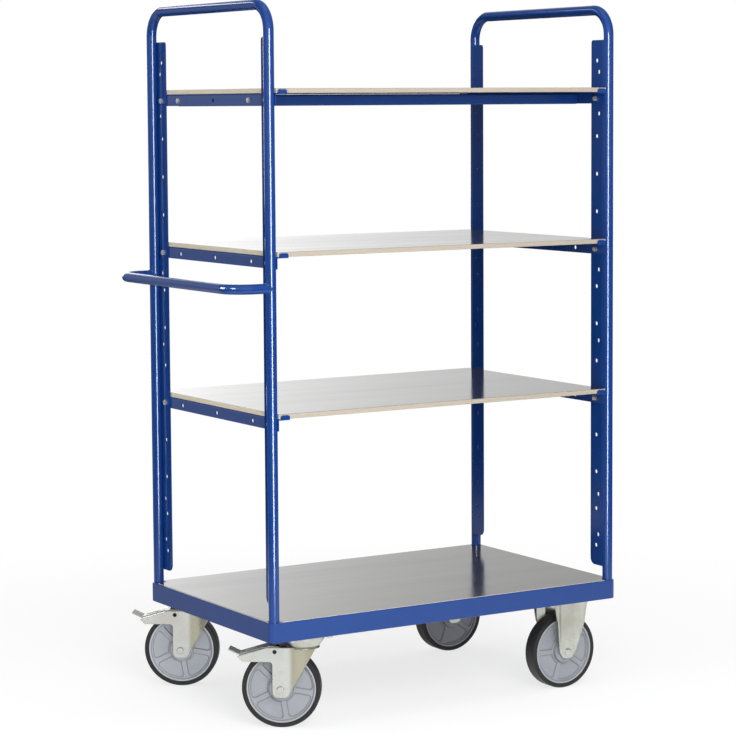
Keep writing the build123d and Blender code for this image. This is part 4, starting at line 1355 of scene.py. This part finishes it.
@dataclass(frozen=True)
class SoftBox:
    """Flat rectangular lamp, placed and aimed right of, towards and above the deck's centre as seen."""

    name: str
    kind: Light
    place: Place
    aim: Place
    size: Pair
    radiance: float
    only: tuple[str, ...] = ()

    def build(self, seen: Callable[[float, float, float], Place]) -> None:
        """Adds the lamp; its power is the radiance times the area times pi.

        Args:
            seen: gives the place in the frame of a place as seen.
        """
        lamp = bpy.data.lights.new(self.name, "AREA")
        lamp.shape = "RECTANGLE"
        lamp.size, lamp.size_y = self.size
        lamp.energy = self.radiance * math.prod(self.size) * math.pi
        item = bpy.data.objects.new(self.name, lamp)
        place, aim = Vector(seen(*self.place)), Vector(seen(*self.aim))
        item.location = place
        item.rotation_euler = (aim - place).to_track_quat("-Z", "Y").to_euler()
        item.visible_camera = False
        item.visible_diffuse = self.kind is Light.FILL
        item.visible_glossy = self.kind is Light.HIGHLIGHT
        bpy.context.scene.collection.objects.link(item)
        if self.only:
            lit = bpy.data.collections.new(self.name + "_lit")
            for piece in bpy.data.objects:
                if piece.type == "MESH" and any(word in piece.name for word in self.only):
                    lit.objects.link(piece)
            item.light_linking.receiver_collection = lit


FRONT, FRONT_AIM = (0.5, 2.45, 1.0), (0.1, 0.1, 1.0)
ABOVE, ABOVE_AIM = (0.0, 0.3, 4.2), (0.0, 0.0, 0.5)
LAMPS = (
    SoftBox("front_strip", Light.HIGHLIGHT, FRONT, FRONT_AIM, (0.75, 2.0), 26.0, ("frame_tube",)),
    SoftBox(
        "castor_strip", Light.HIGHLIGHT, FRONT, FRONT_AIM, (0.90, 2.0), 1.6,
        ("_fork", "_plate", "pedal", "axle", "deck_frame"),
    ),
    SoftBox(
        "left_panel", Light.HIGHLIGHT, (-1.98, -0.35, 1.0), (-0.53, 0.29, 1.0), (1.2, 2.0), 0.42,
        ("end_frame", "bracket", "_rail", "push_handle", "bolts", "nuts"),
    ),
    SoftBox(
        "back_strip", Light.HIGHLIGHT, (-1.89, -0.83, 2.61), (-0.47, 0.29, 1.75), (1.0, 0.25), 6.0,
        ("frame_tube",),
    ),
    SoftBox(
        "left_box", Light.HIGHLIGHT, (-2.60, 0.63, 1.91), (-0.62, 0.45, 0.98), (0.9, 0.9), 26.0,
        ("push_handle",),
    ),
    SoftBox(
        "near_box", Light.HIGHLIGHT, (-1.57, 2.12, 2.07), (-0.55, 0.5, 0.98), (0.7, 0.9), 24.0,
        ("push_handle",),
    ),
    SoftBox("front_fill", Light.FILL, (1.05, 3.86, 2.4), (0.0, 0.0, 0.7), (2.2, 2.2), 7.5),
    SoftBox("left_fill", Light.FILL, (-1.9, 0.9, 1.5), (-0.45, 0.3, 1.1), (1.0, 1.2), 0.9),
    SoftBox("low_fill", Light.FILL, (0.3, 2.2, 0.4), (0.1, 0.0, 0.2), (1.6, 0.6), 2.9),
    SoftBox(
        "under_fill", Light.FILL, (-0.45, 0.32, 0.12), (-0.63, 0.03, 0.1), (0.5, 0.16), 3.6,
        ("rear_swivel",),
    ),
    SoftBox("overhead", Light.FILL, ABOVE, ABOVE_AIM, (3.0, 3.0), 1.55),
    SoftBox("overhead_sheen", Light.HIGHLIGHT, ABOVE, ABOVE_AIM, (2.4, 1.6), 9.0),
)


@dataclass(frozen=True)
class Glow:
    """Round patch of light in the surroundings: its level times a power of the cosine from its middle."""

    azimuth: float
    rise: float
    tightness: float
    level: float

    def strength(self, nodes: Nodes) -> Socket:
        """Adds the patch to the world's tree.

        Args:
            nodes: tree of the world.

        Returns:
            Strength output.
        """
        azimuth, rise = math.radians(self.azimuth), math.radians(self.rise)
        middle = (math.sin(azimuth) * math.cos(rise), math.cos(azimuth) * math.cos(rise), math.sin(rise))
        nearness = nodes.along(nodes.add("ShaderNodeTexCoord").outputs["Generated"], middle)
        lobe = nodes.math("POWER", nodes.math("MAXIMUM", nearness, 0.0), self.tightness)
        return nodes.math("MULTIPLY", lobe, self.level)


@dataclass
class Studio:
    """Camera, white surroundings, floor and lamps."""

    picture: float = 736.0
    focal: float = 2497.61
    sensor: float = 36.0
    view_end: float = 200.0
    optical_row: float = 330.0
    yaw: float = 31.55
    pitch: float = -5.15
    roll: float = -0.36
    distance: float = 6.64066
    sideways: float = -0.03652
    eye: float = 1.56152
    ambient: float = 0.40
    dark: float = 0.15
    backdrop: Glow = Glow(33.0, 8.0, 6.0, 0.68)
    back_light: Glow = Glow(12.0, 9.0, 43.0, 5.0)
    front_wall: Glow = Glow(211.5, 10.0, 2.0, 0.75)
    floor_size: float = 60.0
    floor_level: float = -0.0004
    floor_tone: float = 0.80
    floor_glow: Pair = (0.74, 1.0)
    floor_shade: Pair = (0.32, 0.0)
    floor_fade: Pair = (0.9, 2.4)
    floor_mirror: Pair = (1.9, 3.2)
    floor_turn: Pair = (-0.35, 0.25)
    floor_paling: Pair = (0.95, 0.50)

    def build(self) -> None:
        """Builds the whole studio."""
        self.camera()
        self.world()
        self.floor()
        for lamp in LAMPS:
            lamp.build(self.seen)
        bpy.context.scene.view_settings.view_transform = "Standard"

    def axes(self) -> tuple[Array, Array]:
        """Horizontal unit directions to the right of the camera and towards it."""
        yaw = math.radians(self.yaw)
        return array((math.cos(yaw), -math.sin(yaw), 0)), array((-math.sin(yaw), -math.cos(yaw), 0))

    def seen(self, right: float, towards: float, height: float) -> Place:
        """Place given by its distance right of, towards and above the deck's centre on the floor.

        Args:
            right: distance to the right of it as the camera sees it.
            towards: distance from it towards the camera.
            height: height above the floor.

        Returns:
            Place in the frame.
        """
        across, back = self.axes()
        deck = sum(corners_of("deck_frame")) / 2 * (1, 1, 0)
        return tuple((deck + right * across + towards * back + height * UP).tolist())

    def camera(self) -> None:
        """Adds the camera: a level walk back and sideways, then pitch and roll."""
        right, towards = self.axes()
        pitch, roll = math.radians(self.pitch), math.radians(self.roll)
        forward = -towards * math.cos(pitch) + UP * math.sin(pitch)
        up = np.cross(right, forward)
        camera_x = math.cos(roll) * right + math.sin(roll) * up
        camera_y = -math.sin(roll) * right + math.cos(roll) * up
        data = bpy.data.cameras.new("photo_camera")
        data.sensor_width = self.sensor
        data.lens = self.focal / self.picture * self.sensor
        data.shift_y = (self.optical_row - self.picture / 2) / self.picture
        data.clip_end = self.view_end
        item = bpy.data.objects.new("photo_camera", data)
        turn = Matrix([camera_x, camera_y, -forward]).transposed().to_4x4()
        item.matrix_world = Matrix.Translation(self.seen(self.sideways, self.distance, self.eye)) @ turn
        bpy.context.scene.collection.objects.link(item)
        bpy.context.scene.camera = item

    def world(self) -> None:
        """White for the camera, an even light for matt surfaces, patches of light for glossy ones."""
        world = bpy.data.worlds.new("white_surround")
        bpy.context.scene.world = world
        nodes = bare_nodes(world)
        camera, mirror, matt = nodes.rays()
        glossy = self.dark
        for glow in (self.backdrop, self.back_light, self.front_wall):
            glossy = nodes.math("ADD", glow.strength(nodes), glossy)
        lit = nodes.math("MULTIPLY_ADD", mirror, glossy, nodes.math("MULTIPLY", matt, self.ambient))
        values = {"Color": WHITE, "Strength": nodes.math("ADD", camera, lit)}
        background = nodes.add("ShaderNodeBackground", values)
        nodes.add("ShaderNodeOutputWorld", {"Surface": background.outputs[0]})

    def floor(self) -> None:
        """Adds the pale floor, matt near the trolley and fading into the white surround."""
        half = self.floor_size / 2
        mesh = bpy.data.meshes.new("studio_floor")
        corners = [(-half, -half), (half, -half), (half, half), (-half, half)]
        mesh.from_pydata([(x, y, self.floor_level) for x, y in corners], [], [(0, 1, 2, 3)])
        item = bpy.data.objects.new("studio_floor", mesh)
        bpy.context.scene.collection.objects.link(item)
        material = bpy.data.materials.new("studio_floor")
        mesh.materials.append(material)
        nodes = bare_nodes(material)
        camera, mirror, other = nodes.rays()
        place = nodes.place()
        distance = nodes.vector("LENGTH", place).outputs["Value"]
        rearward = nodes.split(place)[1]
        glow = nodes.ramp(distance, self.floor_fade, self.floor_glow, SMOOTH)
        shade = nodes.ramp(distance, self.floor_fade, self.floor_shade, SMOOTH)
        paling = nodes.ramp(rearward, self.floor_turn, self.floor_paling, SMOOTH)
        reach = nodes.ramp(distance, self.floor_mirror, (1.0, 0.0), SMOOTH)
        reflected = nodes.math("MULTIPLY", mirror, nodes.math("MULTIPLY", paling, reach))
        shone = nodes.math("MULTIPLY_ADD", camera, glow, reflected)
        tone = nodes.math("MULTIPLY_ADD", camera, shade, nodes.math("MULTIPLY", other, self.floor_tone))
        matt = nodes.add("ShaderNodeBsdfDiffuse", {"Color": tone})
        white = nodes.add("ShaderNodeEmission", {"Color": WHITE, "Strength": shone})
        both = nodes.add("ShaderNodeAddShader", {0: matt.outputs[0], 1: white.outputs[0]})
        nodes.add("ShaderNodeOutputMaterial", {"Surface": both.outputs[0]})


def main() -> None:
    """Builds the trolley's pieces in order, dresses the rest and sets up the studio."""
    logging.basicConfig(level=logging.INFO, format="%(message)s")
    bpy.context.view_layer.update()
    Tubework().build()
    Boards().build()
    Fasteners().build()
    Wheels().build()
    KeptNodes().dress()
    Studio().build()


if __name__ == "__main__":
    main()
